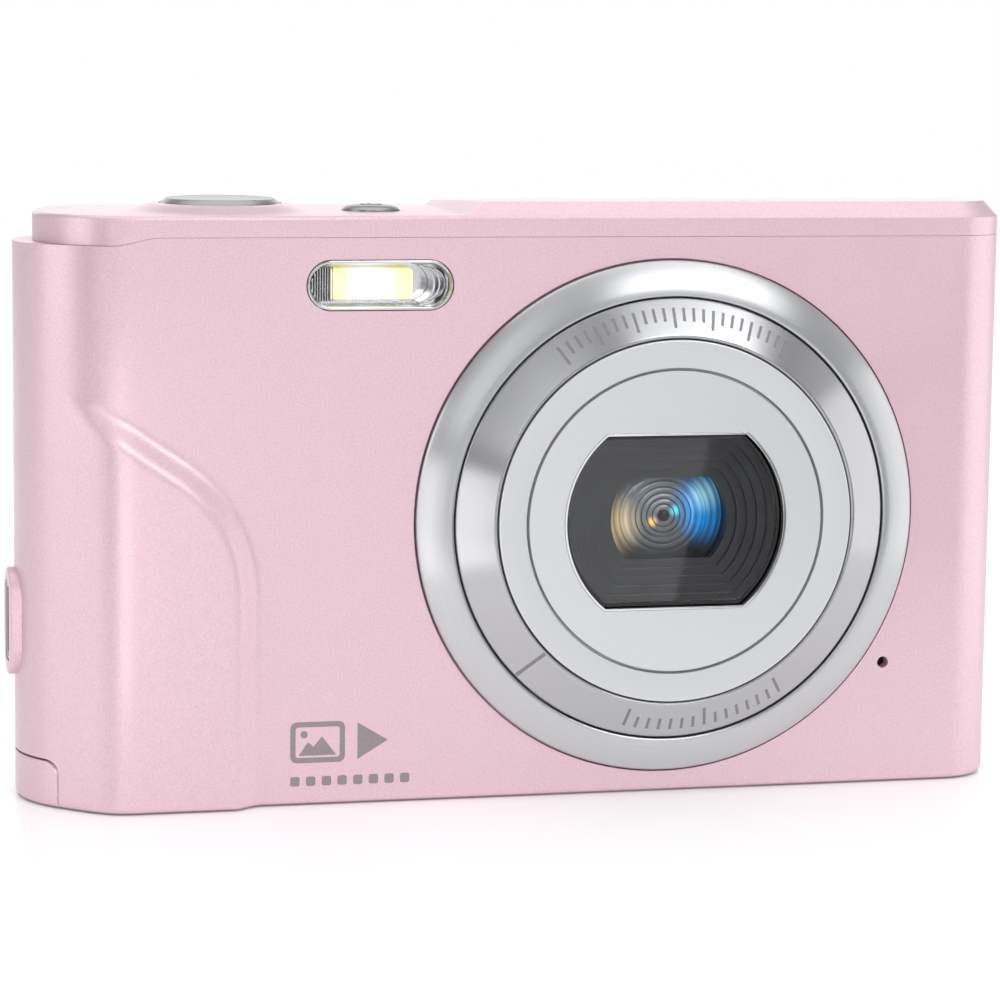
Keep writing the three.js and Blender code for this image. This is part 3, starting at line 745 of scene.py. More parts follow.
def lens_coating(name):
    """Dark coated glass with painted reflections: a painted gold reflection towards the left, a painted blue reflection
    with a pale highlight towards the upper right, painted glints, painted dark rings and a painted dark pupil; the
    painted colours also glow faintly.
    """
    f = Finish(name, (0.03, 0.031, 0.034), 0.2, Metallic=0.5)
    radius = lens_radius(f)
    # Painted banding: ring-shaped waves vary how strongly the painted reflections show.
    waves = f.add("ShaderNodeTexNoise", {"W": f.math("MULTIPLY", radius, 2.6), "Scale": 1.0}, noise_dimensions="1D")
    strength = f.remap(waves.outputs["Fac"], 0.35, 0.62, 0.35, 1.0)
    # Painted reflections, each a colour spot round a point beside the lens axis: grey-blue at the upper left, gold at
    # the left, blue and a pale cyan highlight at the upper right, then painted orange and cyan glints by the middle.
    look = f.mix(f.math("MULTIPLY", spot(f, -1.5, 1.5, 6.5), 0.8), (0.03, 0.03, 0.033), (0.15, 0.165, 0.175))
    look = f.mix(f.math("MULTIPLY", spot(f, -5.4, -0.9, 4.0), strength), look, (0.95, 0.74, 0.40))
    look = f.mix(f.math("MULTIPLY", spot(f, 4.8, 0.9, 4.6, 1.2), strength), look, (0.02, 0.38, 0.98))
    look = f.mix(f.math("MULTIPLY", spot(f, 4.2, 1.9, 2.3), strength), look, (0.50, 0.95, 1.0))
    look = f.mix(f.math("MULTIPLY", spot(f, -1.1, -0.6, 0.7), 0.95), look, (1.0, 0.62, 0.18))
    look = f.mix(f.math("MULTIPLY", spot(f, 1.15, 0.45, 0.75), 0.95), look, (0.10, 0.85, 0.98))
    # Painted shade: thin dark ring lines out to about 3.6 mm, then a dark pupil in the middle.
    folded = f.math("PINGPONG", radius, 0.275)
    near_line = f.math("MULTIPLY", f.remap(folded, 0.10, 0.03), f.remap(radius, 3.6, 2.6))
    look = f.mix(f.math("MULTIPLY", near_line, 0.85), look, (0.004, 0.004, 0.005))
    look = f.mix(spot(f, 0, 0, 0.6, 0.5), look, (0.003, 0.003, 0.004))
    f.set_colour(look)
    # Painted light: the painted colours also glow faintly, though the glass is no lamp.
    f.tree.links.new(look, f.shader.inputs["Emission Color"])
    f.shader.inputs["Emission Strength"].default_value = 0.35
    return f


def window_glass(name):
    """Clear pane over the lens window."""
    f = Finish(name, (0.97, 0.98, 1.0), 0.02, Transmission_Weight=1.0, IOR=1.33)
    f.smudges(0.01, 4.0)
    return f


def clear_pane(name):
    f = Finish(name, (0.98, 0.98, 1.0), 0.03, Transmission_Weight=1.0, IOR=1.3)
    f.smudges(0.03, 3.0)
    return f


def lit_lamp(name):
    """The lit yellow lamp: hottest in the middle."""
    look = bpy.context.scene.camera_finish
    f = Finish(name, tuple(0.5 * c for c in look.lamp), 0.5)
    x = middle("flash_led").x
    axes = f.add("ShaderNodeSeparateXYZ", {0: f.place})
    off = f.math("ABSOLUTE", f.math("SUBTRACT", axes.outputs["X"], x * MM))
    share = f.remap(off, 2.9 * MM, 0.6 * MM)
    glow = f.mix(share, (0.98, 0.92, 0.36), (1.3, 1.3, 1.2))
    f.tree.links.new(glow, f.shader.inputs["Emission Color"])
    f.shader.inputs["Emission Strength"].default_value = look.lamp_power
    f.mottle(0.6, 0.04)
    return f


def print_grey(name):
    """Silver-grey printing ink."""
    f = Finish(name, (0.30, 0.26, 0.28), 0.4, Metallic=0.4)
    f.mottle(0.25, 0.08)
    return f


def ring_ink(name):
    f = Finish(name, (0.22, 0.22, 0.235), 0.4, Metallic=0.3)
    f.mottle(0.25, 0.1)
    return f


def solder_green(name):
    """Circuit board: solder mask with the pattern of tracks showing faintly through."""
    f = Finish(name, (0.03, 0.16, 0.07), 0.35)
    tracks = f.add("ShaderNodeTexBrick", {"Vector": f.place, "Scale": 1 / (4 * MM), "Mortar Size": 0.03})
    f.set_colour(f.mix(tracks.outputs["Fac"], (0.03, 0.15, 0.065), (0.10, 0.30, 0.14)))
    f.bump(tracks.outputs["Fac"], 0.02)
    return f


def amber_flex(name):
    f = Finish(name, (0.55, 0.28, 0.06), 0.35)
    lines = f.add("ShaderNodeTexWave", {"Vector": f.place, "Scale": 1 / (3 * MM)}, bands_direction="X")
    f.set_colour(f.mix(lines.outputs["Fac"], (0.42, 0.20, 0.04), (0.70, 0.40, 0.12)))
    return f


def chip_black(name):
    f = Finish(name, (0.03, 0.03, 0.034), 0.55)
    f.mottle(0.2, 0.2)
    f.bump(f.noise(0.1, 2.0), 0.01)
    return f


def grey_rubber(name):
    f = Finish(name, (0.05, 0.05, 0.055), 0.75)
    f.mottle(1.0, 0.15)
    f.bump(f.noise(0.3, 2.0), 0.01)
    return f


def battery_wrap(name):
    """Printed wrap of the battery: dark, with a lighter band near its foot."""
    f = Finish(name, (0.05, 0.055, 0.065), 0.38)
    axes = f.add("ShaderNodeSeparateXYZ", {0: f.place})
    band = f.math("LESS_THAN", axes.outputs["Z"], low_corner("battery").z * MM + 5 * MM)
    f.set_colour(f.mix(band, f.colour, (0.32, 0.34, 0.37)))
    f.bump(f.noise(0.4, 2.0), 0.004)
    return f


def card_blue(name):
    f = Finish(name, (0.03, 0.06, 0.16), 0.45)
    f.mottle(0.4, 0.12)
    f.bump(f.noise(0.15, 2.0), 0.004)
    return f


def lamp_green(name):
    f = Finish(name, (0.45, 0.80, 0.50), 0.25, Coat_Weight=0.5)
    f.mottle(0.3, 0.05)
    return f


# ------------------------------------------------------------------ casing


def bezier(start, control, end, steps):
    """Points on a quadratic curve, both ends included."""
    points = []
    for i in range(steps + 1):
        t = i / steps
        weights = ((1 - t) ** 2, 2 * t * (1 - t), t * t)
        points.append(tuple(sum(w * p[k] for w, p in zip(weights, (start, control, end))) for k in (0, 1)))
    return points


def grip_edge():
    """The grip's crest from the front: straight up from the base, then in an S to the round end."""
    turn = bezier((-28.5, 20), (-28.6, 27.2), (-34.9, 31.1), 14)
    return [(-28.5, -3), *turn, (-39.3, 34.1), (-43.2, 36.3), (-50, 40)]


def distance_outside(x, z, edge):
    """Distance beyond the grip's crest: 0 on the grip, growing to the right of and above the crest."""
    best = 1e9
    outside = True
    for (ax, az), (bx, bz) in zip(edge, edge[1:]):
        dx, dz = bx - ax, bz - az
        along = max(0.0, min(1.0, ((x - ax) * dx + (z - az) * dz) / (dx * dx + dz * dz)))
        px, pz = ax + along * dx, az + along * dz
        gap = math.hypot(x - px, z - pz)
        if gap < best:
            best = gap
            outside = (x - ax) * dz - (z - az) * dx > 0
    return best if outside else 0.0


def slope_height(along):
    """Height of a straight slope with a rounded head and foot: 1 at its start, falling to 0."""
    r = GRIP_ROUND
    if along < 2 * r:
        return 1 - along * along / (4 * r)
    if along < 1:
        return 1 + r - along
    return max(0.0, 1 + 2 * r - along) ** 2 / (4 * r)


def ledge_outline(gap):
    """What is missing from the body's top at its left end, seen from the front."""
    foot = SHELL_TOP - LEDGE_DROP + gap
    rise = []
    for i in range(7):
        t = i / 6
        ease = t * t * (3 - 2 * t)
        rise.append((LEDGE_FOOT + t * (LEDGE_HEAD - LEDGE_FOOT), foot + ease * LEDGE_DROP))
    return [(-60, foot), *rise, (LEDGE_HEAD, 60), (-60, 60)]


def casing_block(name, detailed):
    """The solid body of both shells; the detailed one carries the grip on its front."""
    body = standing(name, plan_outline(), 0, SHELL_TOP)
    bevel_edges(body, 0.7, 4, lambda p: p.z < 0.01)
    cut(body, facing("ledge", ledge_outline(0), -20, 20))
    if not detailed:
        return body
    edit_all(body)
    columns = int((-24 - END_X) / GRIP_STEP)
    for i in range(columns):
        bpy.ops.mesh.select_all(action="SELECT")
        bpy.ops.mesh.bisect(plane_co=((END_X + i * GRIP_STEP) * MM, 0, 0), plane_no=(1, 0, 0))
    for i in range(2, int(GRIP_TOP / GRIP_STEP)):
        bpy.ops.mesh.select_all(action="SELECT")
        bpy.ops.mesh.bisect(plane_co=(0, 0, i * GRIP_STEP * MM), plane_no=(0, 0, 1))
    bpy.ops.object.mode_set(mode="OBJECT")
    edge = grip_edge()
    for vertex in body.data.vertices:
        x, y, z = vertex.co / MM
        if y >= 0 or x > -23:
            continue
        fade = max(0.0, min(1.0, (GRIP_FADE - x) / 5.5))
        swell = slope_height(distance_outside(x, z, edge) / GRIP_SLOPE) * (1 - fade * fade * (3 - 2 * fade))
        vertex.co.y = y * (1 + swell * GRIP_PROUD / BACK) * MM
    return body


def door_prism(name, gap, x1):
    """What the battery door fills, grown by a gap."""
    half = high_corner("battery_door").y + gap
    top = high_corner("battery_door").z + gap
    outline = [(-half, -5), (half, -5)] + arc(half - 1.2, top - 1.2, 1.2, 0, 90, 8) \
        + arc(-half + 1.2, top - 1.2, 1.2, 90, 180, 8)
    return sideways(name, outline, LEFT - 5, x1)


def hinge_line():
    return middle("door_hinge_pin")


def door_cutter():
    return door_prism("door_opening", DOOR_SEAM, hinge_line().x + 1.15)


def pin_slot():
    pin = hinge_line()
    return block("pin_slot", pin.x - 2.05, pin.x + 0.55, -8.95, 8.95, pin.z - 0.55, pin.z + 0.55)


def screw_sinks():
    """Round sinks and holes for the two base screws and the two end screws."""
    tools = []
    for node in ("base_screw_1", "base_screw_2"):
        x, y, _ = middle(node)
        profile = [(0, -1), (1.55, -1), (1.55, 0.95), (0.95, 0.95), (0.95, 8), (0, 8)]
        tools.append(turned("sink", profile, (x, y, 0), "Z", 32))
    for node in ("end_screw_1", "end_screw_2"):
        _, y, z = middle(node)
        for radius, depth in ((1.55, 0.95), (0.95, 8)):
            outline = arc(y, z, radius, 0, 337.5, 15)
            tools.append(sideways("sink", outline, RIGHT - depth, RIGHT + 1))
    return tools


def inner_block(name):
    """The hollow inside both shells; it is narrower under the cover's end."""
    hollow = standing(name, plan_outline(WALL, 40), WALL, SHELL_TOP - 3)
    return join(hollow, standing("neck", cover_outline(WALL), SHELL_TOP - 4, SHELL_TOP + 5))


class CAMERA_OT_front_shell(bpy.types.Operator):
    """Front shell with the raised grip, the port's boss and the openings of the lens, lamp and door"""

    bl_idname = "camera.front_shell"
    bl_label = "Front shell"

    def execute(self, context):
        shell = casing_block("front_shell_skin", detailed=True)
        port = middle("usb_socket")
        boss = sideways("boss", capsule(port.y, port.z, 5.8, 10.2), low_corner("front_shell").x, END_X)
        bevel_edges(boss, 0.35, 3, lambda p: p.x < LEFT - 0.5)
        join(shell, boss)
        slice_off(shell, (0, SPLIT - SEAM, 0), (0, 1, 0))
        lens = LENS
        bezel = high_corner("lens_bezel_ring").x - lens.x
        bush = middle("tripod_bush")
        mouth = rounded_rect(port.y - 1.5, port.y + 1.5, port.z - 3.8, port.z + 3.8, 0.7)
        cut(
            shell,
            inner_block("inside"),
            rod("lens_seat", lens, bezel + 0.2, -15, FRONT + 0.9, steps=RING_STEPS),
            rod("lens_hole", lens, 12.4, -15, 0, steps=96),
            facing("lamp_hole", capsule(FLASH.x, FLASH.z, 13.95, 4.75), -15, 0),
            rod("sound_hole", middle("microphone"), 0.56, -15, 0, steps=32),
            sideways("port_mouth", mouth, LEFT - 5, LEFT + 6),
            door_cutter(),
            pin_slot(),
            rod("bush_hole", bush, 4.65, -1, 5, "Z", 64),
            *screw_sinks(),
        )
        soften(shell)
        settle(shell, "camera_body", "pearl_pink", finish_named("pearl_paint"), "front_shell")
        return {"FINISHED"}


class CAMERA_OT_rear_shell(bpy.types.Operator):
    """Rear shell with the screen's recess, the key holes and the strap's pocket"""

    bl_idname = "camera.rear_shell"
    bl_label = "Rear shell"

    def execute(self, context):
        shell = casing_block("rear_shell_skin", detailed=False)
        slice_off(shell, (0, SPLIT + SEAM, 0), (0, -1, 0))
        cut(shell, inner_block("inside"))
        pin = middle("strap_pin")
        pocket = (pin.x + 0.3, pin.y - 0.35, 0)
        low, high = low_corner("strap_pin").z - 0.3, high_corner("strap_pin").z + 0.3
        boss = rod("boss", pocket, 3.5, low, high, "Z", 64)
        keep(boss, standing("kept", plan_outline(0.15), 0, SHELL_TOP))
        join(shell, boss)
        window_low, window_high = low_corner("lcd_window"), high_corner("lcd_window")
        recess = rounded_rect(window_low.x - 0.08, window_high.x + 0.08, window_low.z - 0.08, window_high.z + 0.08, 1.6)
        opening = rounded_rect(window_low.x + 1.6, window_high.x - 1.6, window_low.z + 1.6, window_high.z - 1.6, 0.5)
        nav = middle("ok_button")
        rocker = middle("zoom_rocker")
        lamp = middle("status_led")
        round_keys = ("mode_button", "menu_button", "playback_button", "delete_button")
        cut(
            shell,
            rod("pocket", pocket, 2.5, low + 1, high - 1, "Z", 48),
            facing("recess", recess, BACK - 0.85, BACK + 5),
            facing("opening", opening, 5.5, BACK + 5),
            rod("ring_hole", nav, 9.4, 5.5, 20, steps=96),
            facing("rocker_hole", capsule(rocker.x, rocker.z, 14.9, 5.5), 5.5, 20),
            rod("lamp_hole", lamp, 0.8, 5.5, 20, steps=32),
            *[rod("key_hole", middle(node), 2.95, 5.5, 20) for node in round_keys],
            door_cutter(),
            pin_slot(),
        )
        soften(shell)
        settle(shell, "camera_body", "pearl_pink", finish_named("pearl_paint"), "rear_shell")
        return {"FINISHED"}


def cover_outline(inset, end_steps=48):
    return plan_outline(inset, end_steps, END_RADIUS - COVER_INSET)


def hump_ring(inset_left, inset_front, inset_back, inset_right, z):
    """One level of the cover's higher part."""
    left = HUMP_LEFT + inset_left
    front, back, right = FRONT + inset_front, BACK - inset_back, RIGHT - inset_right
    near = CORNER_RADIUS - (inset_front + inset_right) / 2
    far = CORNER_RADIUS - (inset_back + inset_right) / 2
    outline = (
        [(left, back), (left, front)]
        + arc(right - near, front + near, near, -90, 0, 12)
        + arc(right - far, back - far, far, 0, 90, 12)
    )
    return [(x, y, z) for x, y in outline]


class CAMERA_OT_top_cover(bpy.types.Operator):
    """Top cover: a low left part with the shutter's mound and a higher right part with sloped edges"""

    bl_idname = "camera.top_cover"
    bl_label = "Top cover"

    def execute(self, context):
        low = SHELL_TOP + SEAM
        low_top = 55.2
        high_top = 56.4
        cover = standing("top_cover_skin", cover_outline(0), low, low_top)
        bevel_edges(cover, 0.4, 4, lambda p: p.z > low_top - 0.01)
        hump = lofted(
            "hump",
            [hump_ring(0, 0, 0, 0, low), hump_ring(0, 0, 0, 0, low_top - 0.25), hump_ring(2.1, 2, 1.2, 1.2, high_top)],
        )
        slice_off(hump, (0, -7.5, high_top), (0, math.sin(CROWN), math.cos(CROWN)))
        skirt = facing("skirt", ledge_outline(SEAM), -20, 20)
        keep(skirt, standing("kept", cover_outline(0), 50, 54))
        join(cover, skirt)
        foot = low_top - 0.6
        mound_top = 55.95
        mound = [(0, foot), (9.0, foot), (9.0, low_top)]
        mound += [
            (9.0 - 2.9 * t, low_top + (mound_top - low_top) * (t * t * (3 - 2 * t)))
            for t in (0.15, 0.3, 0.45, 0.6, 0.75, 0.9, 1.0)
        ]
        mound += [(0, mound_top)]
        join(cover, hump, turned("mound", mound, SHUTTER, "Z", 96))
        room = lofted(
            "room",
            [[(x, y, z) for x, y in cover_outline(WALL)] for z in (low - 1, low_top - 1.2)],
        )
        cut(
            cover,
            room,
            rod("shutter_hole", SHUTTER, 5.72, 50, 60, "Z", 96),
            rod("power_hole", POWER, 2.82, 50, 60, "Z", 64),
        )
        speaker = middle("speaker")
        places = [(0, 0)] + arc(0, 0, 2, 0, 300, 5)
        holes = [rod("hole", (speaker.x + x, speaker.y + y, 0), 0.45, 50, 60, "Z", 24) for x, y in places]
        cut(cover, *holes)
        soften(cover, 0.14)
        settle(cover, "camera_body", "pearl_pink", finish_named("pearl_paint"), "top_cover")
        return {"FINISHED"}


class CAMERA_OT_battery_door(bpy.types.Operator):
    """Battery and card door, which wraps the lower left corner and turns on its knuckle"""

    bl_idname = "camera.battery_door"
    bl_label = "Battery door"

    def execute(self, context):
        door = casing_block("battery_door_skin", detailed=True)
        pin = hinge_line()
        keep(door, door_prism("kept", -DOOR_SEAM, pin.x))
        inside = standing("inside", plan_outline(WALL, 40), 1.6, 20)
        cut(door, inside)
        half = high_corner("battery_door").y - SEAM
        knuckle = rod("knuckle", pin, pin.z - 0.02, -half, half, steps=32)
        join(door, knuckle)
        cut(door, rod("bore", pin, 0.55, -10, 10, steps=24))
        soften(door)
        settle(door, "battery_door", "pearl_pink", finish_named("pearl_paint"), "battery_door")
        ribs = []
        for offset in (-4.2, 0.0, 4.2):
            ribs.append(block("rib", LEFT + 4, pin.x - 3, offset - 0.35, offset + 0.35, 1.5, 2.0))
        pads = one_mesh("battery_door_ribs", ribs)
        soften(pads, 0.08)
        settle(pads, "battery_door", "black_plastic", finish_named("matt_black"))
        return {"FINISHED"}


# ------------------------------------------------------------------ lens


class CAMERA_OT_lens_rings(bpy.types.Operator):
    """Bright outer ring, turned conical ring and pale lens disc"""

    bl_idname = "camera.lens_rings"
    bl_label = "Lens rings"

    def execute(self, context):
        seat = -9.6
        trim_front = low_corner("lens_trim_ring").y
        disc_front = low_corner("lens_face_disc").y
        bezel = turned(
            "lens_bezel_skin",
            [(21.12, seat), (24.4, seat), (24.4, -10.25), (24.2, -10.5), (23.2, -11.1), (22.0, -11.55), (21.4, -11.7),
             (21.12, -11.6)],
            LENS,
        )
        soften(bezel, 0.06)
        settle(bezel, "camera_body", "bright_chrome", finish_named("ring_silver"), "lens_bezel_ring")
        trim = turned(
            "lens_trim_skin",
            [(17.3, seat), (20.98, seat), (20.98, -11.45), (20.8, -11.7), (17.7, trim_front + 0.05),
             (17.45, trim_front), (17.3, trim_front + 0.15)],
            LENS,
        )
        soften(trim, 0.05)
        settle(trim, "camera_body", "brushed_silver", finish_named("turned_silver"), "lens_trim_ring")
        disc = turned(
            "lens_disc_skin",
            [(0, seat), (17.18, seat), (17.18, disc_front - 0.1), (17.0, disc_front - 0.2), (14.55, disc_front),
             (14.55, disc_front + 1.0), (14.27, disc_front + 1.0), (14.27, disc_front), (0, disc_front)],
            LENS,
        )
        cut(disc, facing("window", flattened(LENS.x, LENS.z, 10.85, 8.4), -20, 0))
        soften(disc, 0.05)
        settle(disc, "camera_body", "satin_silver", finish_named("satin_silver"), "lens_face_disc")
        liner = facing("window_liner", flattened(LENS.x, LENS.z, 10.83, 8.38), disc_front + 0.03, disc_front + 1.4)
        cut(liner, facing("hole", flattened(LENS.x, LENS.z, 10.6, 8.17), -20, 0))
        soften(liner, 0.04)
        settle(liner, "camera_body", "bright_chrome", finish_named("bright_chrome"))
        return {"FINISHED"}


class CAMERA_OT_ring_marks(bpy.types.Operator):
    """Plain index ticks printed on the conical ring, and its joint line"""

    bl_idname = "camera.ring_marks"
    bl_label = "Ring marks"

    def mark(self, angle, inner, outer, width):
        """A thin bar along the cone at an angle, between two radii."""
        def on_cone(radius, across, lift):
            slope = (radius - 17.7) / (20.8 - 17.7)
            y = low_corner("lens_trim_ring").y + 0.05 + slope * 1.65 - lift
            turn = math.radians(angle)
            x = radius * math.cos(turn) - across * math.sin(turn)
            z = radius * math.sin(turn) + across * math.cos(turn)
            return (LENS.x + x, y, LENS.z + z)

        corners = ((inner, -width), (outer, -width), (outer, width), (inner, width))
        return lofted("mark", [[on_cone(r, a / 2, lift) for r, a in corners] for lift in (-0.03, 0.02)])

    def execute(self, context):
        count = context.scene.camera_stage.ring_ticks
        marks = []
        for i in range(count):
            inner = 18.3 if i % 4 == 0 else 18.9
            marks.append(self.mark(125 - 68 * i / (count - 1), inner, 20.1, 0.28))
        lower = 15
        for i in range(lower):
            inner = 18.3 if i % 7 == 0 else 19.0
            marks.append(self.mark(257 + 46 * i / (lower - 1), inner, 20.1, 0.28))
        ticks = one_mesh("ring_ticks", marks)
        settle(ticks, "camera_body", "gloss_black", finish_named("ring_ink"))
        joint = self.mark(224, 17.6, 20.8, 0.34)
        joint.name = "ring_joint_line"
        settle(joint, "camera_body", "gloss_black", finish_named("ring_ink"))
        return {"FINISHED"}


class CAMERA_OT_lens_window(bpy.types.Operator):
    """Black window plate with terraces that step down to the glass"""

    bl_idname = "camera.lens_window"
    bl_label = "Lens window"

    def execute(self, context):
        front = low_corner("lens_window_plate").y
        plate = facing("lens_window_skin", flattened(LENS.x, LENS.z, 10.5, 8.1), front, front + 2.4)
        cut(plate, facing("bed", flattened(LENS.x, LENS.z, 10.2, 7.8), front - 1, front + 0.35))
        steps = 5
        for i in range(1, steps + 1):
            share = i / steps
            outline = flattened(LENS.x, LENS.z, 10.3 - 4.6 * share, 7.9 - 4.0 * share)
            depth = 5 if i == steps else 0.35 + 0.3 * i
            cut(plate, facing("step", outline, front - 1, front + depth))
        soften(plate, 0.05)
        settle(plate, "camera_body", "gloss_black", finish_named("gloss_black"), "lens_window_plate")
        pane = facing("window_pane", flattened(LENS.x, LENS.z, 10.15, 7.75), front + 0.02, front + 0.3)
        soften(pane, 0.04)
        pane.visible_shadow = False
        settle(pane, "camera_body", "clear_pane", finish_named("window_glass"))
        return {"FINISHED"}


class CAMERA_OT_lens_glass(bpy.types.Operator):
    """Lens barrel with its stepped mouth, and the domed front glass with fine steps at its rings; the dark ring lines
    and the dark aperture are painted shade in the glass's colour.
    """

    bl_idname = "camera.lens_glass"
    bl_label = "Lens glass"

    def execute(self, context):
        profile = [(5.95, -9.6), (8.8, -9.6), (8.8, -8.3), (14, -8.3), (14, -7.1), (8.8, -7.1), (8.8, -1.2),
                   (5.95, -1.2)]
        barrel = turned("lens_barrel_skin", profile, LENS, steps=96)
        soften(barrel, 0.05)
        settle(barrel, "camera_body", "black_plastic", finish_named("matt_black"), "lens_barrel")
        dome = []
        edges = (0, 0.55, 1.1, 1.62, 2.15, 2.8, 3.5, 4.3, 5.1, 5.9)
        for inner, outer in zip(edges, edges[1:]):
            rise = -8.85 + 0.016 * inner * inner
            dome += [(inner, rise), (outer - 0.06, rise + 0.02), (outer - 0.03, rise + 0.07)]
        glass = turned("front_lens_skin", [*dome, (5.9, -7.4), (0, -7.2)], LENS, steps=96)
        soften(glass, 0.01, 1, 60)
        settle(glass, "camera_body", "coated_glass", finish_named("lens_coating"), "front_lens")
        return {"FINISHED"}


# ------------------------------------------------------------------ lamp and top controls


class CAMERA_OT_lamp(bpy.types.Operator):
    """Lamp window: bright rim, clear pane, ribbed reflector and the lit lamp"""

    bl_idname = "camera.lamp"
    bl_label = "Lamp"

    def execute(self, context):
        width, height = 13.8, 4.6
        inner = capsule(FLASH.x, FLASH.z, width - 2 * FLASH_RIM, height - 2 * FLASH_RIM)
        rim = facing("lamp_rim", capsule(FLASH.x, FLASH.z, width, height), -10.1, -8.9)
        cut(rim, facing("hole", inner, -20, 0))
        soften(rim, 0.12)
        settle(rim, "camera_body", "bright_chrome", finish_named("lamp_chrome"), "flash_bezel")
        pane_outline = capsule(FLASH.x, FLASH.z, width - 2 * FLASH_RIM - 0.1, height - 2 * FLASH_RIM - 0.1)
        pane = facing("lamp_pane", pane_outline, -9.85, -9.45)
        soften(pane, 0.08)
        pane.visible_shadow = False
        settle(pane, "camera_body", "clear_pane", finish_named("clear_pane"), "flash_window")
        tray = block("lamp_tray", FLASH.x - 6.7, FLASH.x + 6.7, -8.8, -4.6, FLASH.z - 2.25, FLASH.z + 2.25)
        hollow = facing("hollow", capsule(FLASH.x, FLASH.z, 13.1, 4.0), -12, -6.0)
        cut(tray, hollow)
        ribs = []
        for i in range(9):
            x = FLASH.x - 6.25 + i * 0.24
            ribs.append(block("rib", x, x + 0.12, -8.75, -6.4, FLASH.z - 1.6, FLASH.z + 1.6))
        curves = []
        for i in range(3):
            bend = arc(FLASH.x + 3.6 + i * 0.75, FLASH.z, 1.85 - 0.2 * i, -80, 80, 20)
            back = arc(FLASH.x + 3.6 + i * 0.75, FLASH.z, 1.65 - 0.2 * i, 80, -80, 20)
            curves.append(facing("curve", bend + back, -8.7 + 0.3 * i, -6.2))
        tray = one_mesh("lamp_tray", [tray, *ribs, *curves])
        soften(tray, 0.03, 1)
        settle(tray, "camera_body", "bright_chrome", finish_named("lamp_chrome"), "flash_reflector")
        led_low, led_high = low_corner("flash_led"), high_corner("flash_led")
        lamp = block("lamp_lit", led_low.x, led_high.x, -8.6, -6.6, led_low.z, led_high.z)
        soften(lamp, 0.1, 2)
        settle(lamp, "camera_body", "lit_phosphor", finish_named("lit_lamp"), "flash_led")
        return {"FINISHED"}


class CAMERA_OT_top_buttons(bpy.types.Operator):
    """Shutter button and power button, each with a turned top"""

    bl_idname = "camera.top_buttons"
    bl_label = "Top buttons"

    def execute(self, context):
        top = high_corner("shutter_button").z - 0.3
        profile = [(0, 52.3), (1.5, 52.3), (1.5, 53.1), (6.5, 53.1), (6.5, 53.7), (5.6, 53.7), (5.6, top - 0.5),
                   (5.5, top - 0.38), (5.12, top - 0.04), (5.0, top), (4.8, top - 0.04), (0, top - 0.14)]
        shutter = turned("shutter_cap", profile, SHUTTER, "Z", 96)
        soften(shutter, 0.05)
        settle(shutter, "shutter_button", "brushed_silver", finish_named("brushed_cap"), "shutter_button")
        top = high_corner("power_button").z
        profile = [(0, 51.9), (1.2, 51.9), (1.2, 53.1), (3.5, 53.1), (3.5, 53.7), (2.7, 53.7), (2.7, top - 0.42),
                   (2.4, top - 0.2), (1.8, top - 0.07), (0.9, top), (0, top)]
        power = turned("power_cap", profile, POWER, "Z", 64)
        soften(power, 0.05)
        settle(power, "power_button", "brushed_silver", finish_named("brushed_cap"), "power_button")
        ring = standing("power_mark", arc(POWER.x, POWER.y, 1.1, 120, 420, 24)
                        + arc(POWER.x, POWER.y, 0.8, 420, 120, 24), top - 0.2, top + 0.0)
        bar = block("bar", POWER.x - 0.15, POWER.x + 0.15, POWER.y + 0.3, POWER.y + 1.3, top - 0.2, top)
        mark = one_mesh("power_mark", [ring, bar])
        settle(mark, "power_button", "gloss_black", finish_named("matt_black"))
        return {"FINISHED"}


class CAMERA_OT_front_print(bpy.types.Operator):
    """Plain pictograms printed low on the front: a framed picture, a play sign and a row of squares"""

    bl_idname = "camera.front_print"
    bl_label = "Front print"

    def execute(self, context):
        front, back = FRONT - 0.015, FRONT + 0.05
        picture = facing("frame", rounded_rect(-23.0, -17.8, 4.1, 8.0, 0.6, 4), front, back)
        cut(picture, facing("hole", rounded_rect(-22.5, -18.3, 4.6, 7.5, 0.25, 4), -12, 0))
        hill = facing("hill", [(-22.2, 4.8), (-18.6, 4.8), (-20.0, 6.6), (-20.8, 5.6), (-21.3, 6.1)], front, back)
        sun = facing("sun", arc(-21.7, 6.8, 0.35, 0, 345, 23), front, back)
        play = facing("play", [(-16.6, 4.3), (-16.6, 7.8), (-13.7, 6.05)], front, back)
        squares = [
            facing("square", rounded_rect(-23 + i * 1.5, -22.1 + i * 1.5, 1.9, 2.8, 0.2, 3), front, back)
            for i in range(8)
        ]
        marks = one_mesh("front_print", [picture, hill, sun, play, *squares])
        settle(marks, "camera_body", "satin_silver", finish_named("print_grey"))
        return {"FINISHED"}


# ------------------------------------------------------------------ screen, keys, port


class CAMERA_OT_screen(bpy.types.Operator):
    """Screen cover with softened edges, and the status lamp"""

    bl_idname = "camera.screen"
    bl_label = "Screen"

    def execute(self, context):
        low, high = low_corner("lcd_window"), high_corner("lcd_window")
        pane = facing("screen_cover", rounded_rect(low.x, high.x, low.z, high.z, 1.5), low.y, high.y)
        soften(pane, 0.15, 3)
        settle(pane, "camera_body", "screen_glass", finish_named("screen_black"), "lcd_window")
        lamp = middle("status_led")
        top = high_corner("status_led").y
        profile = [(0, 6.8), (0.7, 6.8), (0.7, top - 0.2), (0.5, top - 0.05), (0.25, top), (0, top)]
        bead = turned("status_bead", profile, lamp, steps=32)
        soften(bead, 0.02, 1)
        settle(bead, "camera_body", "led_green", finish_named("lamp_green"), "status_led")
        return {"FINISHED"}


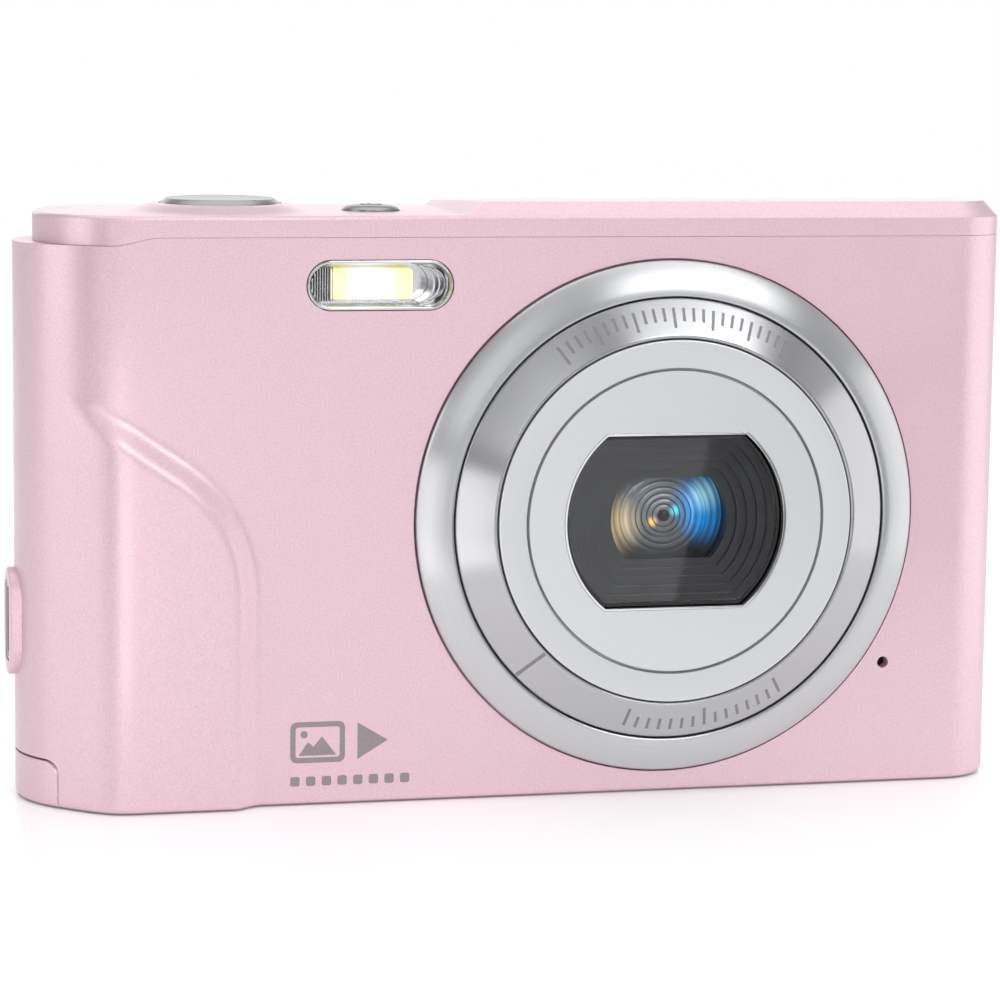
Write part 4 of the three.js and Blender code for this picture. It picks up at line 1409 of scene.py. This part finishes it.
def icon(name, outlines, top, body):
    """Flat printed signs on top of a rear key."""
    pieces = [facing(name, outline, top - 0.02, top + 0.012) for outline in outlines]
    sign = one_mesh(name, pieces)
    return settle(sign, body, "gloss_black", finish_named("matt_black"))


def bars(x, z, length, thick, gaps):
    return [
        [(x - length, z + g - thick), (x + length, z + g - thick), (x + length, z + g + thick), (x - length, z + g + thick)]
        for g in gaps
    ]


class CAMERA_OT_rear_keys(bpy.types.Operator):
    """Four round keys, the four ring keys and the middle key, each with its sign"""

    bl_idname = "camera.rear_keys"
    bl_label = "Rear keys"

    def execute(self, context):
        silver = finish_named("key_silver")
        top = high_corner("ok_button").y
        low = low_corner("ok_button").y
        round_profile = [(0, low), (3.35, low), (3.35, 8.3), (2.75, 8.3), (2.75, top - 0.25), (2.5, top - 0.05),
                         (2.2, top), (0, top - 0.12)]
        for node in ("mode_button", "menu_button", "playback_button", "delete_button"):
            key = turned(node + "_cap", round_profile, middle(node), steps=64)
            soften(key, 0.04)
            settle(key, node, "satin_silver", silver, node)
        nav = middle("ok_button")
        profile = [(0, low), (3.5, low), (3.5, top - 0.3), (3.2, top - 0.05), (2.9, top), (0, top - 0.15)]
        key = turned("ok_cap", profile, nav, steps=64)
        soften(key, 0.04)
        settle(key, "ok_button", "satin_silver", silver, "ok_button")
        for node, angle in (("key_left", 0), ("key_up", 90), ("key_right", 180), ("key_down", 270)):
            cap = self.ring_key(node, nav, angle, low, top)
            settle(cap, node, "satin_silver", silver, node)
            turn = math.radians(angle)
            x, z = nav.x + 6.6 * math.cos(turn), nav.z + 6.6 * math.sin(turn)
            arrow = arc(x, z, 0.75, angle, angle + 240, 2)
            icon(node + "_sign", [arrow], top, node)
        self.signs(top)
        return {"FINISHED"}

    def ring_key(self, name, nav, angle, low, top):
        """A quarter of the ring, with a flange under the shell."""
        def sector(inner, outer, half):
            return arc(nav.x, nav.z, outer, angle - half, angle + half, 24) \
                + arc(nav.x, nav.z, inner, angle + half, angle - half, 16)

        cap = facing(name + "_cap", sector(3.85, 9.2, 43.6), low, top)
        flange = facing("flange", sector(3.85, 9.8, 43.6), low, 8.3)
        bevel_edges(cap, 0.3, 3, lambda p: p.y > top - 0.01)
        join(cap, flange)
        return soften(cap, 0.06)

    def signs(self, top):
        x, _, z = middle("menu_button")
        icon("menu_sign", bars(x, z, 0.9, 0.12, (-0.6, 0, 0.6)), top, "menu_button")
        x, _, z = middle("playback_button")
        icon("playback_sign", [arc(x, z, 1.0, 180, 420, 2)], top, "playback_button")
        x, _, z = middle("mode_button")
        dots = [arc(x + dx, z + dz, 0.32, 0, 330, 11) for dx in (-0.55, 0.55) for dz in (-0.55, 0.55)]
        icon("mode_sign", dots, top, "mode_button")
        x, _, z = middle("delete_button")
        bin_body = [(x - 0.55, z - 0.9), (x + 0.55, z - 0.9), (x + 0.7, z + 0.35), (x - 0.7, z + 0.35)]
        icon("delete_sign", [bin_body, *bars(x, z, 0.9, 0.12, (0.65,))], top, "delete_button")
        x, _, z = middle("ok_button")
        icon("ok_sign", [arc(x, z, 0.55, 0, 345, 23)], top - 0.13, "ok_button")


class CAMERA_OT_zoom_rocker(bpy.types.Operator):
    """Zoom rocker with a plus and a minus sign"""

    bl_idname = "camera.zoom_rocker"
    bl_label = "Zoom rocker"

    def execute(self, context):
        x, _, z = middle("zoom_rocker")
        low, high = low_corner("zoom_rocker").y, high_corner("zoom_rocker").y
        cap = facing("zoom_cap", capsule(x, z, 14, 4.8), low, high)
        bevel_edges(cap, 0.55, 4, lambda p: p.y > high - 0.01)
        flange = facing("flange", rounded_rect(x - 8, x + 8, z - 2.9, z + 2.9, 1), low, low + 0.6)
        join(cap, flange)
        soften(cap, 0.06)
        settle(cap, "zoom_rocker", "satin_silver", finish_named("key_silver"), "zoom_rocker")
        plus = bars(x - 4.3, z, 0.9, 0.14, (0,))
        upright = [[(x - 4.3 - 0.14, z - 0.9), (x - 4.3 + 0.14, z - 0.9), (x - 4.3 + 0.14, z + 0.9), (x - 4.3 - 0.14, z + 0.9)]]
        minus = bars(x + 4.3, z, 0.9, 0.14, (0,))
        icon("zoom_signs", [*plus, *minus], high, "zoom_rocker")
        icon("zoom_upright", upright, high + 0.001, "zoom_rocker")
        return {"FINISHED"}


class CAMERA_OT_port(bpy.types.Operator):
    """Metal port on the end with its black insert and tongue"""

    bl_idname = "camera.port"
    bl_label = "Port"

    def mouth(self, inset):
        """The port's outline, inset from its outer wall."""
        low, high = low_corner("usb_socket"), high_corner("usb_socket")
        return rounded_rect(low.y + inset, high.y - inset, low.z + inset, high.z - inset, 0.4)

    def execute(self, context):
        low, high = low_corner("usb_socket"), high_corner("usb_socket")
        shell = sideways("port_shell", rounded_rect(low.y, high.y, low.z, high.z, 0.6), low.x, high.x)
        cut(shell, sideways("room", self.mouth(0.3), low.x - 1, high.x - 0.6))
        soften(shell, 0.07)
        settle(shell, "camera_body", "bare_steel", finish_named("plain_steel"), "usb_socket")
        insert = sideways("port_insert", self.mouth(0.32), low.x + 0.2, high.x - 0.62)
        cut(insert, sideways("room", self.mouth(0.47), low.x - 1, high.x - 1.2))
        centre = middle("usb_socket")
        tongue = [(-0.35, -2.5), (0.35, -2.5), (0.35, 2.5), (-0.35, 2.5)]
        outline = [(centre.y + y, centre.z + z) for y, z in tongue]
        join(insert, sideways("tongue", outline, low.x + 0.9, high.x - 0.9))
        soften(insert, 0.04)
        settle(insert, "camera_body", "black_plastic", finish_named("matt_black"))
        return {"FINISHED"}


# ------------------------------------------------------------------ battery, card, hardware


class CAMERA_OT_battery_and_card(bpy.types.Operator):
    """Battery with its contact pads and memory card with its corner and finger ridges"""

    bl_idname = "camera.battery_and_card"
    bl_label = "Battery and card"

    def execute(self, context):
        low, high = low_corner("battery"), high_corner("battery")
        cell = standing("battery_pack", rounded_rect(low.x, high.x, low.y, high.y, 1.2), low.z, high.z)
        soften(cell, 0.35, 3)
        settle(cell, "battery", "battery_wrap", finish_named("battery_wrap"), "battery")
        pads = [
            block("pad", low.x + 4 + 3 * i, low.x + 6 + 3 * i, low.y + 1.5, high.y - 1.5, high.z - 0.05, high.z + 0.03)
            for i in range(3)
        ]
        contacts = one_mesh("battery_pads", pads)
        settle(contacts, "battery", "brass", finish_named("plain_brass"))
        low, high = low_corner("memory_card"), high_corner("memory_card")
        outline = [(low.x, low.z), (high.x, low.z), (high.x, high.z), (low.x + 4, high.z), (low.x, high.z - 4)]
        card = facing("card_body", outline, low.y, high.y)
        grooves = [
            block("groove", low.x + 2, high.x - 2, low.y - 1, low.y + 0.25, low.z + 0.8 + i, low.z + 1.2 + i)
            for i in range(3)
        ]
        cut(card, *grooves)
        soften(card, 0.1)
        settle(card, "memory_card", "card_plastic", finish_named("card_blue"), "memory_card")
        return {"FINISHED"}


def screw_model(name, head_low):
    """An upright screw at the origin: cross recess below, shank above."""
    profile = [(0, head_low), (1.05, head_low), (1.3, head_low + 0.2), (1.3, head_low + 0.8), (0.7, head_low + 0.8),
               (0.7, head_low + 3.9), (0.45, head_low + 4.2), (0, head_low + 4.2)]
    screw = turned(name, profile, (0, 0, 0), "Z", 40)
    slot = 0.16
    cut(
        screw,
        block("slot", -0.85, 0.85, -slot, slot, head_low - 1, head_low + 0.4),
        block("slot", -slot, slot, -0.85, 0.85, head_low - 1, head_low + 0.4),
    )
    return soften(screw, 0.03, 1)


class CAMERA_OT_hardware(bpy.types.Operator):
    """Base and end screws, tripod bush with its thread, hinge pin and strap pin"""

    bl_idname = "camera.hardware"
    bl_label = "Hardware"

    def execute(self, context):
        steel = finish_named("plain_steel")
        for i in (1, 2):
            node = f"base_screw_{i}"
            x, y, _ = middle(node)
            screw = screw_model(node + "_skin", low_corner(node).z)
            screw.data.transform(Matrix.Translation(Vector((x, y, 0)) * MM))
            settle(screw, "camera_body", "bare_steel", steel, node)
        for i in (1, 2):
            node = f"end_screw_{i}"
            _, y, z = middle(node)
            screw = screw_model(node + "_skin", 0)
            place = Matrix.Translation(Vector((high_corner(node).x, y, z)) * MM)
            screw.data.transform(place @ Matrix.Rotation(math.radians(-90), 4, "Y"))
            settle(screw, "camera_body", "bare_steel", steel, node)
        self.bush()
        pin = hinge_line()
        rod_low, rod_high = low_corner("door_hinge_pin").y, high_corner("door_hinge_pin").y
        hinge = rod("hinge_rod", pin, 0.45, rod_low, rod_high, steps=32)
        soften(hinge, 0.08)
        settle(hinge, "door_slider", "bare_steel", steel, "door_hinge_pin")
        strap = middle("strap_pin")
        bar = rod("strap_bar", strap, 0.7, low_corner("strap_pin").z, high_corner("strap_pin").z, "Z", 40)
        soften(bar, 0.08)
        settle(bar, "camera_body", "bare_steel", steel, "strap_pin")
        return {"FINISHED"}

    def bush(self):
        """Brass bush: thread ridges stand inside its socket."""
        centre = middle("tripod_bush")
        ridges = []
        pitch = 1.27
        turns = 4
        for i in range(turns):
            z = 0.3 + i * pitch
            ridges += [(3.2, z), (2.85, z + pitch * 0.4), (2.85, z + pitch * 0.5), (3.2, z + pitch * 0.9)]
        profile = [(3.4, 0.06), (4.5, 0.06), (4.5, 1.7), (6, 1.7), (6, 2.9), (4.5, 2.9), (4.5, 6.4), (0, 6.4),
                   (0, 5.6), (3.2, 5.6), *reversed(ridges)]
        bush = turned("bush_skin", profile, centre, "Z", 64)
        soften(bush, 0.04, 1)
        settle(bush, "camera_body", "brass", finish_named("plain_brass"), "tripod_bush")


INSIDE_FINISHES = {
    "solder_green": ("main_board", "sensor_board", "top_board", "keypad_board"),
    "chip_black": ("processor_chip", "image_sensor", "shutter_switch", "power_switch", "lcd_panel"),
    "plain_steel": ("card_socket", "lcd_frame", "chassis_plate", "battery_spring"),
    "matt_black": ("aperture_plate", "battery_holder", "speaker", "microphone"),
    "plain_brass": ("battery_contacts",),
    "lens_coating": ("rear_lens", "ir_filter"),
    "amber_flex": ("lcd_flex",),
    "grey_rubber": ("keypad_rubber",),
}


class CAMERA_OT_inside(bpy.types.Operator):
    """Finishes of the inner pieces that keep their CAD shape"""

    bl_idname = "camera.inside"
    bl_label = "Inner pieces"

    def execute(self, context):
        for name, nodes in INSIDE_FINISHES.items():
            for node in nodes:
                mesh = frame["nodes"][node].data
                mesh.materials.clear()
                mesh.materials.append(finish_named(name))
        return {"FINISHED"}


# ------------------------------------------------------------------ stage


def soft_light(name, place, target, size, power, mirrored=True):
    """A rectangular soft light at place, in metres, aimed at target."""
    data = bpy.data.lights.new(name, "AREA")
    data.shape = "RECTANGLE"
    data.size, data.size_y = size
    data.energy = power
    light = bpy.data.objects.new(name, data)
    bpy.context.scene.collection.objects.link(light)
    aim = (Vector(target) - Vector(place)).to_track_quat("-Z", "Y").to_matrix().to_4x4()
    light.matrix_world = Matrix.Translation(place) @ aim
    light.visible_glossy = mirrored
    return light


class CAMERA_OT_stage(bpy.types.Operator):
    """Pale floor, soft studio lights and the viewpoint"""

    bl_idname = "camera.stage"
    bl_label = "Stage"

    def execute(self, context):
        stage = context.scene.camera_stage
        self.floor(stage.floor_size)
        self.world()
        body = (0, 0, 0.028)
        soft_light("left_box", (-0.69, -0.13, 0.17), body, (0.44, 0.40), 0.76)
        soft_light("right_box", (0.70, -0.22, 0.22), body, (0.26, 0.44), 0.12)
        soft_light("front_box", (0.42, -0.80, 0.68), body, (0.66, 0.30), 2.9)
        soft_light("face_fill", (0.15, -1.0, 0.40), body, (0.8, 0.4), 3.25, mirrored=False)
        soft_light("top_box", (0, 0.15, 1.4), body, (1.8, 1.6), 9.5)
        soft_light("back_box", (0.1, 1.0, 0.3), body, (1.2, 0.5), 2.0)
        self.cards()
        self.viewpoint(stage.focal_length)
        context.scene.view_settings.view_transform = "Standard"
        return {"FINISHED"}

    def cards(self):
        """Studio cards that only show in reflections: dark ones low in front, a bright one at the right."""
        dark = Finish("dark_card", (0.02, 0.02, 0.02), 0.6)
        right = [(0.041, -0.105, 0.001), (0.25, -0.105, 0.001), (0.45, -0.55, 0.001), (0.19, -0.55, 0.001)]
        left = [(-0.078, -0.10, 0.001), (-0.042, -0.10, 0.001), (-0.10, -0.5, 0.001), (-0.22, -0.5, 0.001)]
        dim = self.glowing("dim_card", 0.6)
        bright = self.glowing("bright_card", 1.5)
        pale = self.glowing("pale_card", 0.95)
        side = [(0.115, -0.075, 0), (0.115, 0.02, 0), (0.115, 0.02, 0.07), (0.115, -0.075, 0.07)]
        near = [(-0.049, -0.041, 0.004), (-0.037, -0.053, 0.004), (-0.037, -0.053, 0.038), (-0.049, -0.041, 0.038)]
        high = [(-0.02, -0.334, 0.341), (-0.158, -0.348, 0.274), (-0.259, -0.361, 0.107), (-0.153, -0.425, 0.091)]
        flag = [(-0.105, -0.114, 0.002), (-0.14, -0.084, 0.002), (-0.14, -0.084, 0.08), (-0.105, -0.114, 0.08)]
        cards = {
            "card_1": (right, dark),
            "card_2": (left, dark),
            "card_3": (side, dim),
            "card_4": (near, bright),
            "card_5": (high, pale),
            "card_6": (flag, dark),
        }
        for name, (corners, finish) in cards.items():
            deselect()
            bpy.ops.mesh.primitive_plane_add(size=1)
            card = bpy.context.object
            card.name = name
            order = (corners[0], corners[1], corners[3], corners[2])
            for vertex, corner in zip(card.data.vertices, order):
                vertex.co = corner
            card.data.materials.append(finish.material)
            card.visible_camera = False
            card.visible_diffuse = False
            card.visible_shadow = False
            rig.stage(card)

    def glowing(self, name, strength):
        card = Finish(name, (1, 1, 1), 0.6)
        card.shader.inputs["Emission Color"].default_value = (1, 1, 1, 1)
        card.shader.inputs["Emission Strength"].default_value = strength
        return card

    def floor(self, size):
        deselect()
        bpy.ops.mesh.primitive_grid_add(x_subdivisions=8, y_subdivisions=8, size=size, location=(0, 0, 0))
        floor = bpy.context.object
        floor.name = "floor"
        f = Finish("pale_floor", (0.95, 0.95, 0.95), 0.25)
        f.shader.inputs["Specular IOR Level"].default_value = 0.12
        f.shader.inputs["Emission Color"].default_value = (1, 1, 1, 1)
        f.shader.inputs["Emission Strength"].default_value = 0.12
        f.mottle(60, 0.004)
        floor.data.materials.append(f.material)
        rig.stage(floor)

    def world(self):
        world = bpy.data.worlds.new("studio")
        world.use_nodes = True
        bpy.context.scene.world = world
        nodes = world.node_tree.nodes
        rays = nodes.new("ShaderNodeLightPath").outputs["Is Camera Ray"]
        level = nodes.new("ShaderNodeMapRange")
        level.inputs["To Min"].default_value = 0.44
        level.inputs["To Max"].default_value = 1.0
        world.node_tree.links.new(rays, level.inputs["Value"])
        world.node_tree.links.new(level.outputs[0], nodes["Background"].inputs["Strength"])
        nodes["Background"].inputs["Color"].default_value = (1, 1, 1, 1)

    def viewpoint(self, focal_length):
        data = bpy.data.cameras.new("viewpoint")
        data.lens = focal_length
        data.sensor_width = 36
        data.clip_start = 0.01
        data.clip_end = 50
        camera = bpy.data.objects.new("viewpoint", data)
        bpy.context.scene.collection.objects.link(camera)
        place = Vector((-0.08238, -0.33219, 0.07373))
        target = Vector((-0.00312, -0.010, 0.02856))
        aim = (target - place).to_track_quat("-Z", "Y").to_matrix().to_4x4()
        roll = Matrix.Rotation(math.radians(0.7), 4, "Z")
        camera.matrix_world = Matrix.Translation(place) @ aim @ roll
        bpy.context.scene.camera = camera


# ------------------------------------------------------------------ add-on

OPERATORS = (
    CAMERA_OT_front_shell,
    CAMERA_OT_rear_shell,
    CAMERA_OT_top_cover,
    CAMERA_OT_battery_door,
    CAMERA_OT_lens_rings,
    CAMERA_OT_ring_marks,
    CAMERA_OT_lens_window,
    CAMERA_OT_lens_glass,
    CAMERA_OT_lamp,
    CAMERA_OT_top_buttons,
    CAMERA_OT_front_print,
    CAMERA_OT_screen,
    CAMERA_OT_rear_keys,
    CAMERA_OT_zoom_rocker,
    CAMERA_OT_port,
    CAMERA_OT_battery_and_card,
    CAMERA_OT_hardware,
    CAMERA_OT_inside,
    CAMERA_OT_stage,
)


class CAMERA_PT_pieces(bpy.types.Panel):
    """Lists the pieces of the camera and the settings they use"""

    bl_idname = "CAMERA_PT_pieces"
    bl_label = "Compact camera"
    bl_space_type = "VIEW_3D"
    bl_region_type = "UI"
    bl_category = "Camera"

    def draw(self, context):
        for settings in (context.scene.camera_finish, context.scene.camera_stage):
            for name in settings.__annotations__:
                self.layout.prop(settings, name)
        for operator in OPERATORS:
            self.layout.operator(operator.bl_idname)


CLASSES = (CameraFinish, CameraStage, *OPERATORS, CAMERA_PT_pieces)


def register():
    for kind in CLASSES:
        bpy.utils.register_class(kind)
    bpy.types.Scene.camera_finish = PointerProperty(type=CameraFinish)
    bpy.types.Scene.camera_stage = PointerProperty(type=CameraStage)


def unregister():
    del bpy.types.Scene.camera_stage
    del bpy.types.Scene.camera_finish
    for kind in reversed(CLASSES):
        bpy.utils.unregister_class(kind)


def plain(box):
    return [list(corner) for corner in box]


def main():
    register()
    for operator in OPERATORS:
        group, name = operator.bl_idname.split(".")
        getattr(getattr(bpy.ops, group), name)()
    sizes = {"cad": plain(CAD_BOX), "visual": plain(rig.bounds())}
    with open("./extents.json", "w") as file:
        json.dump(sizes, file, indent=1)


if __name__ == "__main__":
    main()
